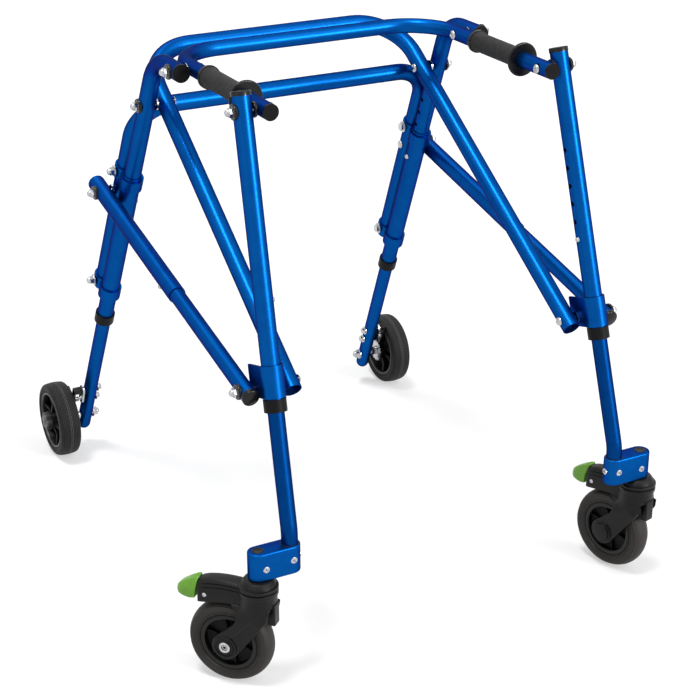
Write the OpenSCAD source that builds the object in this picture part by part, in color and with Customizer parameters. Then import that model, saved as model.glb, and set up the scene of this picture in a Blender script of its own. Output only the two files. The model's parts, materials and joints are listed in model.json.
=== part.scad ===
// Folding posterior walker: the user stands inside and faces -Y, the cross bars are behind.
// Millimetres, +Z up. The origin lies on the floor, midway between the two caster stems.

/* [Layout] */
// Height of the handle tubes' centre line above the floor
handle_h = 734; // [690:1:780]
// Half the distance between the two handle tubes
handle_half_w = 210; // [190:1:240]
// Distance along a handle from the front leg's pivot to the stub's pivot
handle_span = 218.8; // [210:0.1:240]
// Backward lean of the front legs, in degrees
front_lean = 16.4; // [14:0.1:18]
// Outward splay of the front legs, in degrees
front_splay = 2; // [1:0.1:3]
// Forward lean of the rear legs, in degrees
rear_lean = 25.2; // [23:0.1:27]
// Outward splay of the rear legs, in degrees
rear_splay = 2.6; // [1.5:0.1:3.2]
// Distance of the pivot between upright and diagonal below the handles
top_pivot_drop = 74; // [64:1:94]
// Height on the front leg at which the foot pivot sits behind it
foot_level_h = 397; // [390:1:420]
// Distance of the foot pivot behind the front leg's axis
foot_pivot_back = 24.4; // [23:0.1:28]
// Distance of the rear cross bar below the handles
rear_bar_drop = 88; // [74:1:104]
// Distance of the brace's rear pivot below the upper clamps
brace_pivot_drop = 23; // [20:0.5:30]
// Length of the diagonal tube from the top pivot to its cross bar
diag_bar_reach = 103; // [95:1:115]
// Distance of the handle cross bar behind the stub pivot
handle_bar_reach = 89; // [85:1:110]

/* [Tubes] */
// Outer diameter of the uprights
upright_od = 25.4; // [24:0.1:27]
// Outer diameter of the front upper legs
front_od = 25.4; // [24:0.1:27]
// Outer diameter of the diagonal frame
diag_od = 25.4; // [22:0.1:27]
// Outer diameter of the rear frame tube
rear_tube_od = 25.4; // [22:0.1:27]
// Outer diameter of the outer brace tubes
brace_od = 25.4; // [24:0.1:27]
// Outer diameter of the handle bar
handle_od = 22.2; // [20:0.1:25]
// Wall of every tube
tube_wall = 1.3; // [1:0.1:1.6]
// Radial gap between telescoping tubes
slide_gap = 0.3; // [0.2:0.05:0.4]

/* [Bends] */
// Centre line radius of the handle bar's bends
handle_bend_r = 75; // [60:1:85]
// Centre line radius of the diagonal frame's bends
diag_bend_r = 75; // [60:1:85]
// Centre line radius of the rear frame tube's bends
rear_bend_r = 55; // [45:1:65]
// Centre line radius of the uprights' bends
upright_bend_r = 60; // [45:1:65]
// Centre line radius of the kink above the caster block
kink_bend_r = 60; // [40:1:80]

/* [Pivots] */
// Radius of the pivot bolts
pivot_r = 3.2; // [2.8:0.1:3.6]
// Radial running gap in the pivot holes
run_gap = 0.05; // [0.02:0.01:0.08]
// Extra hole radius at the two open pivots of the linkage
open_gap = 4; // [3.8:0.1:4.2]
// Side gap between a moving tube and its washer or spacer
side_gap = 0.4; // [0.35:0.05:0.6]
// Distance between upright and diagonal at the top pivot
top_spacer = 3; // [2.5:0.1:5]
// Distance between upright and handle tube at the stub pivot
stub_spacer = 1.8; // [1.6:0.1:4]
// Distance between front leg and handle tube at the head pivot
head_spacer = 4.5; // [4:0.1:7]
// Distance between bracket and diagonal at the foot pivot
foot_spacer = 4.6; // [4:0.1:7]
// Distance between bracket and inner brace tube
brace_spacer = 1.8; // [1.6:0.1:4]
// Distance between sleeve and outer brace tube
brace_gap = 1.8; // [1.6:0.1:4]
// Radius of the washers
washer_r = 9; // [8:0.1:9.5]
// Thickness of the washers
washer_t = 1.2; // [1:0.1:1.6]
// Corner radius of the hexagon heads and cap nuts
hex_r = 6.6; // [6:0.1:7]
// Thickness of the hexagon heads
head_t = 4.5; // [4:0.1:6]
// Thickness of the cap nuts' hexagon
nut_t = 6; // [5:0.1:7]
// Radius of the cap nuts' dome
dome_r = 5.2; // [4.6:0.1:5.4]

/* [Uprights and rear frame] */
// Length of the stub from the upright's corner to its plug
stub_len = 89; // [86:1:110]
// Distance of the stub pivot from the stub's end
stub_inset = 15; // [13:0.5:20]
// Distance of the upper clamps below the rear cross bar
upper_clamp_drop = 117; // [90:1:119]
// Height between the lower and the upper clamps
clamp_pitch = 204; // [190:1:215]
// Length of a clamp along the tubes
clamp_len = 20; // [16:0.5:22]
// Wall of a clamp
clamp_t = 3; // [2:0.1:3.4]
// Distance between sleeve and rear tube inside a clamp
clamp_web = 0.6; // [0.4:0.1:1.5]
// Length by which the sleeves and the rear tube stand out of the clamps
clamp_margin = 5; // [3:0.5:8]
// Radius of the clamp bolts
clamp_bolt_r = 2.5; // [2:0.1:3]
// Distance of the rear collars' lower face below the lower clamps
rear_collar_drop = 60; // [45:1:70]
// Length of the black collars
collar_len = 17; // [14:0.5:20]
// Wall of the black collars
collar_t = 2.6; // [2:0.1:2.9]
// Length of lip below the end of the tube that a collar covers
collar_lip = 4; // [3:0.5:6]

/* [Holes and buttons] */
// Distance between adjusting holes
hole_pitch = 25; // [22:0.5:28]
// Radius of the adjusting holes
hole_r = 3.4; // [3:0.1:4]
// Adjusting holes above the button in the front legs
front_hole_n = 5; // [3:1:6]
// Adjusting holes above the sleeve in the uprights
rear_hole_n = 4; // [2:1:4]
// Height of the front legs' buttons
front_button_h = 504; // [490:1:515]
// Distance of the sleeves' buttons below the upper clamps
sleeve_button_drop = 37; // [33:1:59]
// Distance of the brace button from the outer brace tube's front end
brace_button_inset = 37; // [28:1:45]
// Downward turn of the brace button from the outboard direction, in degrees
brace_button_turn = 38; // [20:1:45]
// Radius of the snap buttons
button_r = 4; // [3.4:0.1:4.4]
// Height of a button above its tube
button_rise = 3; // [2.4:0.1:3.4]
// Radial gap round a button
button_gap = 0.3; // [0.2:0.05:0.4]

/* [Handles] */
// Distance of a grip's rear end from the stub's pivot
grip_back = 46.8; // [40:0.1:55]
// Distance of a grip's front flange behind the head pivot
grip_front = 50; // [45:1:60]
// Radius of a grip
grip_r = 14; // [13:0.1:18]
// Radius of the front flange
grip_flange_r = 24; // [21:0.5:26]
// Thickness of the front flange
grip_flange_t = 5; // [4:0.5:8]
// Radius of the rear flange
grip_rim_r = 16.5; // [15:0.1:20]
// Thickness of the rear flange
grip_rim_t = 6; // [4:0.5:8]
// Length of the handle tubes in front of the head pivot
handle_tail = 20; // [18:0.5:25]
// Thickness of the black plugs' visible head
plug_t = 3; // [2:0.5:4]
// Depth of a plug inside its tube
plug_depth = 8; // [6:0.5:9]

/* [Front legs] */
// Length of the front leg above the head pivot
front_head = 21; // [18:0.5:26]
// Height of the bracket along the leg
bracket_h = 42; // [36:0.5:46]
// Sheet thickness of the bracket
bracket_t = 3; // [2:0.1:3.4]
// Flange beyond the foot pivot
flange_reach = 14; // [12:0.5:18]
// Rise of the bracket's middle above the foot pivot, along the leg
bracket_rise = 9; // [6:0.5:11]
// Length of the leg between bracket and the tube's lower end
front_tube_tail = 14.5; // [14:0.5:18]
// Length of the diagonal below the foot pivot
diag_tail = 15; // [14:0.5:22]
// Height of the kink in the lower leg
kink_h = 215; // [213:1:225]
// Length of the lower leg inside the upper leg above its button
inner_lead = 18; // [14:1:30]

/* [Braces] */
// Length of the outer brace tube behind its pivot
brace_tail = 27; // [20:0.5:30]
// Length of the outer brace tube in front of its pivot
brace_outer_len = 290; // [280:1:310]
// Length by which the brace is shorter when the frame is folded
brace_travel = 88.4; // [85:0.1:92]
// Start of the inner brace tube, measured from the rear pivot
brace_inner_at = 170; // [150:1:190]
// Length of the inner brace tube in front of the foot pivot
brace_nose = 15; // [14:0.5:20]

/* [Caster blocks] */
// Height of the block's top
block_top_h = 200; // [198:1:204]
// Height of the block
block_h = 40; // [34:0.5:40]
// Half width of the block
block_r = 14; // [13.5:0.1:16]
// Distance between leg and stem
block_pitch = 45.5; // [43:0.5:50]
// Radius of the caster's stem
stem_r = 8; // [6:0.1:9]
// Radius of the block's screw heads
screw_r = 3.2; // [2.5:0.1:3.5]
// Height of the block's screw heads
screw_t = 1.2; // [0.8:0.1:1.5]

/* [Casters] */
// Swivel angle of the left caster from the -X direction
left_swivel = 48.5; // [0:0.5:90]
// Swivel angle of the right caster from the -X direction
right_swivel = 74.4; // [0:0.1:90]
// Radius of the caster tyres
caster_r = 59.5; // [56:0.5:60]
// Width of the caster tyres
caster_w = 31; // [28:0.5:34]
// Depth of the caster tyres' rubber
caster_rubber = 18; // [15:0.5:20]
// Horizontal distance from stem to caster axle
caster_trail = 39.5; // [36:0.5:44]
// Radius of the swivel head
swivel_r = 24; // [22:0.5:25]
// Thickness of a fork arm
fork_t = 7; // [5:0.5:8]
// Gap between fork and tyre
fork_gap = 3; // [2:0.5:4]
// Radius of a fork arm's end
fork_end_r = 19; // [16:0.5:20]
// Reach of the brake housing behind the stem
brake_reach = 82; // [78:1:86]
// Half width of the brake housing
brake_half_w = 16; // [14:0.5:18]
// Length of the pedal behind its pivot
pedal_len = 45; // [40:1:50]
// Half width of the pedal's toe plate
pedal_half_w = 13; // [11:0.5:15]
// Radius of the axles
axle_r = 5; // [4:0.1:6]

/* [Rear wheels] */
// Radius of the rear tyres
rear_r = 61.5; // [58:0.5:64]
// Width of the rear tyres
rear_w = 34; // [30:0.5:36]
// Depth of the rear tyres' rubber
rear_rubber = 15; // [13:0.5:18]
// Distance from the leg's axis to the wheel's middle
rear_wheel_out = 45; // [44:0.5:50]
// Spokes of a wheel
spoke_n = 6; // [4:1:8]
// Thickness of a spoke
spoke_t = 5; // [4:0.5:7]
// Radius of the hubs
hub_r = 13; // [11:0.5:15]
// Radius of the ratchet gear
gear_r = 20; // [18:0.5:22]
// Depth of the ratchet's teeth
tooth_depth = 3; // [2:0.25:4]
// Teeth of the ratchet gear
tooth_n = 18; // [12:1:24]
// Thickness of the ratchet gear
gear_t = 5; // [4:0.25:6]
// Distance of the plate's lower bolt above the axle, along the leg
plate_low_at = 41; // [38:0.5:46]
// Distance between the plate's two bolts
plate_pitch = 21; // [18:0.5:24]
// Thickness of the ratchet plate
plate_t = 3; // [2:0.1:4]
// Half width of the ratchet plate
plate_half_w = 8; // [7:0.5:10]

/* [Hidden] */
$fn = 64;

// Overrun of every cut
overrun = 2;
// Small gap between pieces of one body that only touch
fit_gap = 0.05;
// Length by which a tube's straight pieces reach into its bends, and the bends' thinning
bend_seam = 0.4;
bend_thin = 0.03;

blue = "mediumblue";
black = "#1c1c1e";
rubber = "#26262a";
steel = "silver";
green = "limegreen";

// Direction of the right side's inner buttons and holes
inboard = [-1, 0, 0];

function unit(v) = v / norm(v);
function at_height(p, d, h) = p + d * ((h - p[2]) / d[2]);
function mirrored(p) = [-p[0], p[1], p[2]];
function turn_at(p, q, s) = acos(unit(q - p) * unit(s - q));
function trim_at(points, i, bend_r) =
    i == 0 || i == len(points) - 1 ? 0
    : bend_r * tan(turn_at(points[i - 1], points[i], points[i + 1]) / 2);
// Lengths of the straight pieces between the bends at a path's inner points
function run_lengths(points, bend_r) = [
    for (i = [0 : len(points) - 2])
        norm(points[i + 1] - points[i]) - trim_at(points, i, bend_r) - trim_at(points, i + 1, bend_r)];
// The same lengths with both ends drawn out by e
function longer(lengths, e) = [
    for (i = [0 : len(lengths) - 1])
        lengths[i] + (i == 0 ? e : 0) + (i == len(lengths) - 1 ? e : 0)];

// Telescoping tubes take their size from the tube around them
inner_step = tube_wall + slide_gap;
sleeve_od = upright_od + 2 * inner_step;
rear_leg_od = upright_od - 2 * inner_step;
front_lower_od = front_od - 2 * inner_step;
brace_inner_od = brace_od - 2 * inner_step;

// Directions up the legs of the right side, and square to them towards the rear
front_dir = unit([-tan(front_splay), tan(front_lean), 1]);
front_back = [0, cos(front_lean), -sin(front_lean)];
rear_dir = unit([-tan(rear_splay), -tan(rear_lean), 1]);
rear_back = [0, cos(rear_lean), sin(rear_lean)];

// Heights on the rear legs, and the wheelbase that the handles and both leans give
rear_bar_h = handle_h - rear_bar_drop;
upper_clamp_h = rear_bar_h - upper_clamp_drop;
brace_pivot_h = upper_clamp_h - brace_pivot_drop;
lower_clamp_h = upper_clamp_h - clamp_pitch;
sleeve_button_h = upper_clamp_h - sleeve_button_drop;
rear_collar_h = lower_clamp_h - rear_collar_drop;
head_y = (handle_h - kink_h) * tan(front_lean);
wheelbase = head_y + handle_span + stub_len - stub_inset + (handle_h - rear_r) * tan(rear_lean);
grip_len = handle_span - grip_front - grip_back;

// Rear leg line, stub and top pivot
stub_x = handle_half_w + handle_od / 2 + stub_spacer + upright_od / 2;
rear_axle_p = [stub_x + (handle_h - rear_r) * tan(rear_splay), wheelbase, rear_r];
upright_corner = at_height(rear_axle_p, rear_dir, handle_h);
stub_end = upright_corner - [0, stub_len, 0];
stub_pivot = stub_end + [0, stub_inset, 0];
top_pivot = at_height(rear_axle_p, rear_dir, handle_h - top_pivot_drop);
collar_p = at_height(rear_axle_p, rear_dir, rear_collar_h);
upright_foot = collar_p + rear_dir * collar_lip;

// Rear frame tube, close behind the sleeves
tube_pitch = (sleeve_od + rear_tube_od) / 2 + clamp_web;
rear_tube_p = rear_axle_p + rear_back * tube_pitch;
rear_corner = at_height(rear_tube_p, rear_dir, rear_bar_h);
brace_pivot = at_height(rear_tube_p, rear_dir, brace_pivot_h);
upper_clamp_p = at_height(rear_axle_p, rear_dir, upper_clamp_h);
lower_clamp_p = at_height(rear_axle_p, rear_dir, lower_clamp_h);
clamp_reach = clamp_len / 2 + clamp_margin;

// Front leg line and its two pivots
head_x = handle_half_w + handle_od / 2 + head_spacer + front_od / 2;
head_pivot = [head_x, head_y, handle_h];
kink = at_height(head_pivot, front_dir, kink_h);
foot_level = at_height(head_pivot, front_dir, foot_level_h);
foot_pivot = foot_level + front_back * foot_pivot_back;
front_top = head_pivot + front_dir * front_head;
bracket_foot = foot_level + front_dir * (bracket_rise - bracket_h / 2);
front_foot = bracket_foot - front_dir * front_tube_tail;
front_button_p = at_height(head_pivot, front_dir, front_button_h);
sleeve_button_p = at_height(rear_axle_p, rear_dir, sleeve_button_h);

// Diagonal line through its two pivots
diag_top = [top_pivot[0] - (upright_od + diag_od) / 2 - top_spacer, top_pivot[1], top_pivot[2]];
flange_out = front_od / 2 + bracket_t;
diag_foot = [foot_pivot[0] - flange_out - foot_spacer - diag_od / 2, foot_pivot[1], foot_pivot[2]];
diag_dir = unit(diag_top - diag_foot);
diag_corner = diag_top + diag_dir * diag_bar_reach;
diag_end = diag_foot - diag_dir * diag_tail;

// Handle bar
handle_end = [handle_half_w, head_pivot[1] - handle_tail, handle_h];
handle_corner = [handle_half_w, stub_pivot[1] + handle_bar_reach, handle_h];

// Brace line through its two pivots
brace_top = [brace_pivot[0] + sleeve_od / 2 + brace_gap + brace_od / 2, brace_pivot[1], brace_pivot[2]];
brace_foot = [foot_pivot[0] + flange_out + brace_spacer + brace_inner_od / 2, foot_pivot[1], foot_pivot[2]];
brace_dir = unit(brace_foot - brace_top);
brace_button_p = brace_top + brace_dir * (brace_outer_len - brace_button_inset);
brace_out = unit([1, 0, 0] - brace_dir * brace_dir[0]);
brace_button_dir = brace_out * cos(brace_button_turn) + cross(brace_out, brace_dir) * sin(brace_button_turn);

// Paths of the bent tubes, from the left end round to the right end
rear_tube_end = lower_clamp_p + rear_back * tube_pitch - rear_dir * clamp_reach;
rear_tube_path = [mirrored(rear_tube_end), mirrored(rear_corner), rear_corner, rear_tube_end];
diag_path = [mirrored(diag_end), mirrored(diag_corner), diag_corner, diag_end];
handle_path = [mirrored(handle_end), mirrored(handle_corner), handle_corner, handle_end];
upright_path = [upright_foot, upright_corner, stub_end];
block_low_h = block_top_h - block_h;
leg_rest_h = block_low_h + block_h / 8;
stem_x = kink[0] + block_pitch;
lower_leg_path = [front_button_p + front_dir * inner_lead, kink, [kink[0], kink[1], leg_rest_h]];

// Caster sizes, in the caster's own frame: +X trails behind the stem, the floor is z = 0
swivel_gap = 0.5;
swivel_top = block_low_h - swivel_gap;
swivel_ring_t = 9;
swivel_low = 2 * caster_r + fork_gap;
fork_in = caster_w / 2 + fork_gap;
fork_out = fork_in + fork_t;
front_share = 0.9;
fork_front = -swivel_r * front_share;
cap_share = 0.5;
axle_cap_r = fork_end_r * cap_share;
axle_cap_t = 1.5;
cap_lip = 1.5;
cap_over = 0.4;
arm_long_share = 0.86;
arm_short_share = 0.5;
arm_front_drop = 29;
arm_back_drop = 19;
arm_back_x = swivel_r + fork_gap;
brake_top = swivel_top - swivel_ring_t;
brake_drop = 5;
brake_end_t = 31;
brake_end_top = brake_top - brake_drop;
brake_end_low = brake_end_top - brake_end_t;
pedal_pin_in = 11;
pedal_pin_drop = 18;
pedal_pivot = [brake_reach - pedal_pin_in, 0, brake_end_top - pedal_pin_drop];
pedal_pin_r = 2.5;
pedal_gap = 0.5;
pedal_hub_r = 7;
pedal_neck = 9;
pedal_root_top = 20;
pedal_root_low = 13;
pedal_relief = 4;
pedal_tip_top = -1;
pedal_tip_low = -9;
pedal_round = 16;
lock_tab = [6, 16, 20];
caster_rim_r = caster_r - caster_rubber;
rim_t = 5;
tyre_corner = 7;
hub_share = 0.8;

// Rear wheel places along X, from the leg outwards
leg_face = rear_leg_od / 2;
wheel_mid_x = rear_axle_p[0] + rear_wheel_out;
hub_in_x = wheel_mid_x - rear_w / 2;
gear_out_x = hub_in_x - fit_gap;
gear_in_x = gear_out_x - gear_t;
hub_out_x = wheel_mid_x + rear_w / 2;
knob_t = 6;
knob_r = 11;
knob_lobe_r = 4.5;
knob_lobe_n = 6;
axle_nut_x = rear_axle_p[0] - leg_face - washer_r * tan(rear_splay) - fit_gap;
plate_low_p = rear_axle_p + rear_dir * plate_low_at;
plate_high_p = plate_low_p + rear_dir * plate_pitch;
plate_x = plate_low_p[0] + leg_face + plate_half_w * tan(rear_splay) + fit_gap;
plate_bolt_r = 2.5;
pawl_hub_r = 5.5;
pawl_t = gear_t - 2 * side_gap;
pawl_clear = 0.8;
pawl_arm_r = 3;
lever_len = 26;
lever_r = 4;
rear_rim_r = rear_r - rear_rubber;

module left() mirror([1, 0, 0]) children();
module both() {
    children();
    left() children();
}

// Places its children in the frame with origin o and axes x, y, z
module frame_at(o, x, y, z)
    multmatrix([
        [x[0], y[0], z[0], o[0]],
        [x[1], y[1], z[1], o[1]],
        [x[2], y[2], z[2], o[2]],
        [0, 0, 0, 1]])
        children();

// Stands its children's +Z along the line from a to b
module along(a, b) {
    w = unit(b - a);
    helper = abs(w[1]) < abs(w[2]) ? [0, 1, 0] : [0, 0, 1];
    u = unit(cross(helper, w));
    frame_at(a, u, cross(w, u), w) children();
}

module rod(a, b, r) along(a, b) cylinder(h = norm(b - a), r = r);

// A rod along X between x0 and x1, at the y and z of point p
module x_rod(x0, x1, p, r, sides = $fn)
    translate([x0, p[1], p[2]]) rotate([0, 90, 0]) cylinder(h = x1 - x0, r = r, $fn = sides);

// A round bar up the local Z axis, with equal bends towards +X between its straight pieces
module run(lengths, turn, bend_r, r, i = 0) {
    lead = i == 0 ? 0 : bend_seam;
    more = i < len(lengths) - 1;
    translate([0, 0, -lead]) cylinder(h = lengths[i] + lead + (more ? bend_seam : 0), r = r);
    if (more) translate([bend_r, 0, lengths[i]]) {
        rotate([90, 0, 180]) rotate_extrude(angle = turn) translate([bend_r, 0]) circle(r = r - bend_thin);
        rotate([0, turn, 0]) translate([-bend_r, 0, 0]) run(lengths, turn, bend_r, r, i + 1);
    }
}

// A tube along a flat path of three or more points, with equal bends at the inner ones
module bent_tube(points, bend_r, od) {
    lengths = run_lengths(points, bend_r);
    turn = turn_at(points[0], points[1], points[2]);
    w = unit(points[1] - points[0]);
    v = unit(points[2] - points[1]);
    n = unit(v - w * (v * w));
    frame_at(points[0], n, cross(w, n), w) difference() {
        run(lengths, turn, bend_r, od / 2);
        translate([0, 0, -overrun]) run(longer(lengths, overrun), turn, bend_r, od / 2 - tube_wall);
    }
}

module straight_tube(a, b, od) difference() {
    rod(a, b, od / 2);
    rod(a - unit(b - a) * overrun, b + unit(b - a) * overrun, od / 2 - tube_wall);
}

// A hole through both walls of a tube on the right side, along X
module cross_hole(p, od, r) x_rod(p[0] - od, p[0] + od, p, r);

// Hexagon head with washer at x_head, cap nut with washer at x_nut
module cap_bolt(p, x_head, x_nut, r) {
    x_rod(x_head - washer_t - head_t, x_head - washer_t, p, hex_r, 6);
    x_rod(x_head - washer_t, x_head, p, washer_r);
    x_rod(x_head - washer_t, x_nut + washer_t, p, r);
    x_rod(x_nut, x_nut + washer_t, p, washer_r);
    x_rod(x_nut + washer_t, x_nut + washer_t + nut_t, p, hex_r, 6);
    translate([x_nut + washer_t + nut_t, p[1], p[2]]) sphere(r = dome_r);
}

module spacer_ring(p, x0, x1) x_rod(x0, x1, p, washer_r);

// A domed snap button on the axis point p of a tube, pointing along out
module snap_button(p, out, r_in, r_out) {
    base = r_out + button_rise - button_r;
    along(p, p + out) {
        translate([0, 0, r_in]) cylinder(h = base - r_in, r = button_r);
        translate([0, 0, base]) intersection() {
            sphere(r = button_r);
            cylinder(h = 2 * button_r, r = 2 * button_r);
        }
    }
}

// A hole in one wall of a tube only, from its axis point p along out
module wall_hole(p, out, reach, r) rod(p, p + out * reach, r);

// A ring with rounded outer corners, about the local Z axis
module rounded_band(r_in, r_out, width, corner) rotate_extrude() {
    flat = width - 2 * corner;
    translate([r_in, -width / 2]) square([r_out - corner - r_in, width]);
    translate([r_in, -flat / 2]) square([r_out - r_in, flat]);
    for (side = [-1, 1]) translate([r_out - corner, side * flat / 2]) circle(r = corner);
}

// A spoked rim about the local Z axis, with a hub and its bore
module spoked_rim(rim_r, width, hub_w, bore_r) difference() {
    union() {
        cylinder(h = hub_w, r = hub_r, center = true);
        difference() {
            cylinder(h = width, r = rim_r, center = true);
            cylinder(h = width + overrun, r = rim_r - rim_t, center = true);
        }
        for (i = [0 : spoke_n - 1]) rotate([0, 0, i * 360 / spoke_n])
            translate([hub_r / 2, -spoke_t / 2, -width * hub_share / 2])
                cube([rim_r - hub_r / 2 - rim_t / 2, spoke_t, width * hub_share]);
    }
    cylinder(h = max(width, hub_w) + overrun, r = bore_r, center = true);
}

// Rear frame

module rear_frame_tube() color(blue) difference() {
    bent_tube(rear_tube_path, rear_bend_r, rear_tube_od);
    both() {
        cross_hole(brace_pivot, rear_tube_od, pivot_r + fit_gap);
        for (p = [upper_clamp_p, lower_clamp_p])
            cross_hole(p + rear_back * tube_pitch, rear_tube_od, clamp_bolt_r + fit_gap);
    }
}

module sleeve() color(blue) difference() {
    straight_tube(lower_clamp_p - rear_dir * clamp_reach, upper_clamp_p + rear_dir * clamp_reach, sleeve_od);
    wall_hole(sleeve_button_p, inboard, sleeve_od, button_r + button_gap);
}

// A figure-eight band round sleeve and rear tube
module clamp_at(p) {
    half = rear_dir * clamp_len / 2;
    back = rear_back * tube_pitch;
    cut = rear_dir * overrun;
    difference() {
        union() {
            rod(p - half, p + half, sleeve_od / 2 + clamp_t);
            rod(p - half + back, p + half + back, rear_tube_od / 2 + clamp_t);
        }
        rod(p - half - cut, p + half + cut, sleeve_od / 2 + fit_gap);
        rod(p - half - cut + back, p + half + cut + back, rear_tube_od / 2 + fit_gap);
        cross_hole(p + back, rear_tube_od + clamp_t, clamp_bolt_r + fit_gap);
    }
}

module upper_clamps() color(blue) both() clamp_at(upper_clamp_p);

module lower_clamps() color(blue) both() clamp_at(lower_clamp_p);

module clamp_bolts() color(steel) both() for (p = [upper_clamp_p, lower_clamp_p]) {
    seat = p + rear_back * tube_pitch;
    reach = rear_tube_od / 2 + clamp_t + side_gap;
    cap_bolt(seat, seat[0] - reach, seat[0] + reach, clamp_bolt_r);
}

module upright() color(blue) difference() {
    bent_tube(upright_path, upright_bend_r, upright_od);
    cross_hole(top_pivot, upright_od, pivot_r + fit_gap);
    cross_hole(stub_pivot, upright_od, pivot_r + fit_gap);
    wall_hole(sleeve_button_p, inboard, upright_od, button_r + button_gap);
    for (i = [1 : rear_hole_n])
        wall_hole(upper_clamp_p + rear_dir * (clamp_reach + (i - 1 / 2) * hole_pitch), inboard, upright_od, hole_r);
}

// A plug with a visible head on the open end of a tube, along the direction out of it
module plug(end, out, od) {
    rod(end - out * plug_depth, end + out * plug_t, od / 2 - tube_wall - fit_gap);
    rod(end + out * fit_gap, end + out * plug_t, od / 2);
}

// A black end cap fused to the tube's wall
module end_cap(end, out, od) color(black) {
    rod(end - out * plug_depth, end + out * plug_t, od / 2 - tube_wall / 2);
    rod(end - out * cap_lip, end + out * plug_t, od / 2 + cap_over);
}

module upright_plugs() color(black) both() plug(stub_end, [0, -1, 0], upright_od);

// A stepped collar over the lower end of an outer tube, with a lip round the inner tube
module collar(low, dir, od) difference() {
    rod(low, low + dir * collar_len, od / 2 + collar_t);
    rod(low + dir * collar_lip, low + dir * (collar_len + overrun), od / 2 + fit_gap);
    rod(low - dir * overrun, low + dir * (collar_lip + overrun), od / 2 - tube_wall);
}

module rear_collars() color(black) both() collar(collar_p, rear_dir, upright_od);

// Bolt, head inboard on the moving tube and nut outboard on the upright
module frame_bolt(p, tube_x, tube_od) {
    cap_bolt(p, tube_x - tube_od / 2 - side_gap, p[0] + upright_od / 2 + side_gap, pivot_r);
    spacer_ring(p, tube_x + tube_od / 2 + side_gap, p[0] - upright_od / 2 - side_gap);
}

module top_bolts() color(steel) both() frame_bolt(top_pivot, diag_top[0], diag_od);

module stub_bolts() color(steel) both() frame_bolt(stub_pivot, handle_half_w, handle_od);

module brace_bolts() color(steel) both() {
    face = brace_pivot[0] + rear_tube_od / 2 + side_gap;
    cap_bolt(brace_pivot, brace_pivot[0] - rear_tube_od / 2 - side_gap,
        brace_top[0] + brace_od / 2 + side_gap, pivot_r);
    spacer_ring(brace_pivot, face, brace_top[0] - brace_od / 2 - side_gap);
}

module sleeve_button() color(steel)
    snap_button(sleeve_button_p, inboard, upright_od / 2 + slide_gap / 2, sleeve_od / 2);

// Rear legs and wheels

module rear_leg() color(blue) {
    top = at_height(rear_axle_p, rear_dir, (rear_collar_h + lower_clamp_h) / 2);
    foot = rear_axle_p - rear_dir * rear_leg_od;
    difference() {
        union() {
            rod(foot, top, rear_leg_od / 2);
            translate(foot) sphere(r = rear_leg_od / 2);
        }
        rod(foot, top + rear_dir * overrun, rear_leg_od / 2 - tube_wall);
        cross_hole(rear_axle_p, rear_leg_od, axle_r + fit_gap);
        cross_hole(plate_low_p, rear_leg_od, plate_bolt_r + fit_gap);
        cross_hole(plate_high_p, rear_leg_od, plate_bolt_r + fit_gap);
    }
}

module rear_axle() color(steel) {
    x_rod(axle_nut_x - washer_t, axle_nut_x, rear_axle_p, washer_r);
    x_rod(axle_nut_x - washer_t - nut_t, axle_nut_x - washer_t, rear_axle_p, hex_r + dome_r / 4, 6);
    translate([axle_nut_x - washer_t - nut_t, rear_axle_p[1], rear_axle_p[2]]) sphere(r = hex_r * hub_share);
    x_rod(axle_nut_x - washer_t, hub_out_x - side_gap, rear_axle_p, axle_r);
    x_rod(rear_axle_p[0] + leg_face + side_gap, gear_in_x - side_gap, rear_axle_p, axle_r + rim_t / 2);
}

// Plate on the leg's outer face, its two bolts, and the pawl's pivot on the lower one
module ratchet_plate() color(steel) {
    hull_ends = [plate_low_p, plate_high_p];
    for (p = hull_ends) x_rod(plate_x, plate_x + plate_t, p, plate_half_w);
    frame_at([plate_x, plate_low_p[1], plate_low_p[2]], rear_back, [0, -sin(rear_lean), cos(rear_lean)], [1, 0, 0])
        translate([-plate_half_w, 0, 0]) cube([2 * plate_half_w, plate_pitch, plate_t]);
    for (p = hull_ends) {
        head_x0 = p[0] - leg_face - side_gap;
        x_rod(head_x0 - washer_t, head_x0, p, washer_r * hub_share);
        x_rod(head_x0 - washer_t - nut_t * hub_share, head_x0 - washer_t, p, hex_r * hub_share, 6);
        x_rod(head_x0 - washer_t, plate_x + plate_t, p, plate_bolt_r);
    }
    x_rod(plate_x, gear_out_x, plate_low_p, plate_bolt_r);
}

// Pawl with a tip at the gear and a lever to lift it, in the gear's plane
module pawl() color(black) {
    low = gear_out_x - side_gap - pawl_t;
    tip_gap = plate_low_at * cos(rear_splay) - gear_r - pawl_clear - pawl_arm_r;
    frame_at([low, plate_low_p[1], plate_low_p[2]], rear_back, [0, -sin(rear_lean), cos(rear_lean)], [1, 0, 0])
        difference() {
            union() {
                cylinder(h = pawl_t, r = pawl_hub_r);
                translate([-pawl_arm_r, -tip_gap, 0]) cube([2 * pawl_arm_r, tip_gap, pawl_t]);
                translate([0, -tip_gap, 0]) cylinder(h = pawl_t, r = pawl_arm_r);
                translate([0, -lever_r, 0]) cube([lever_len, 2 * lever_r, pawl_t]);
                translate([lever_len, 0, 0]) cylinder(h = pawl_t, r = lever_r);
            }
            translate([0, 0, -overrun]) cylinder(h = pawl_t + 2 * overrun, r = plate_bolt_r + run_gap);
        }
}

module at_rear_wheel() translate([wheel_mid_x, rear_axle_p[1], rear_axle_p[2]]) rotate([0, 90, 0]) children();

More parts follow.
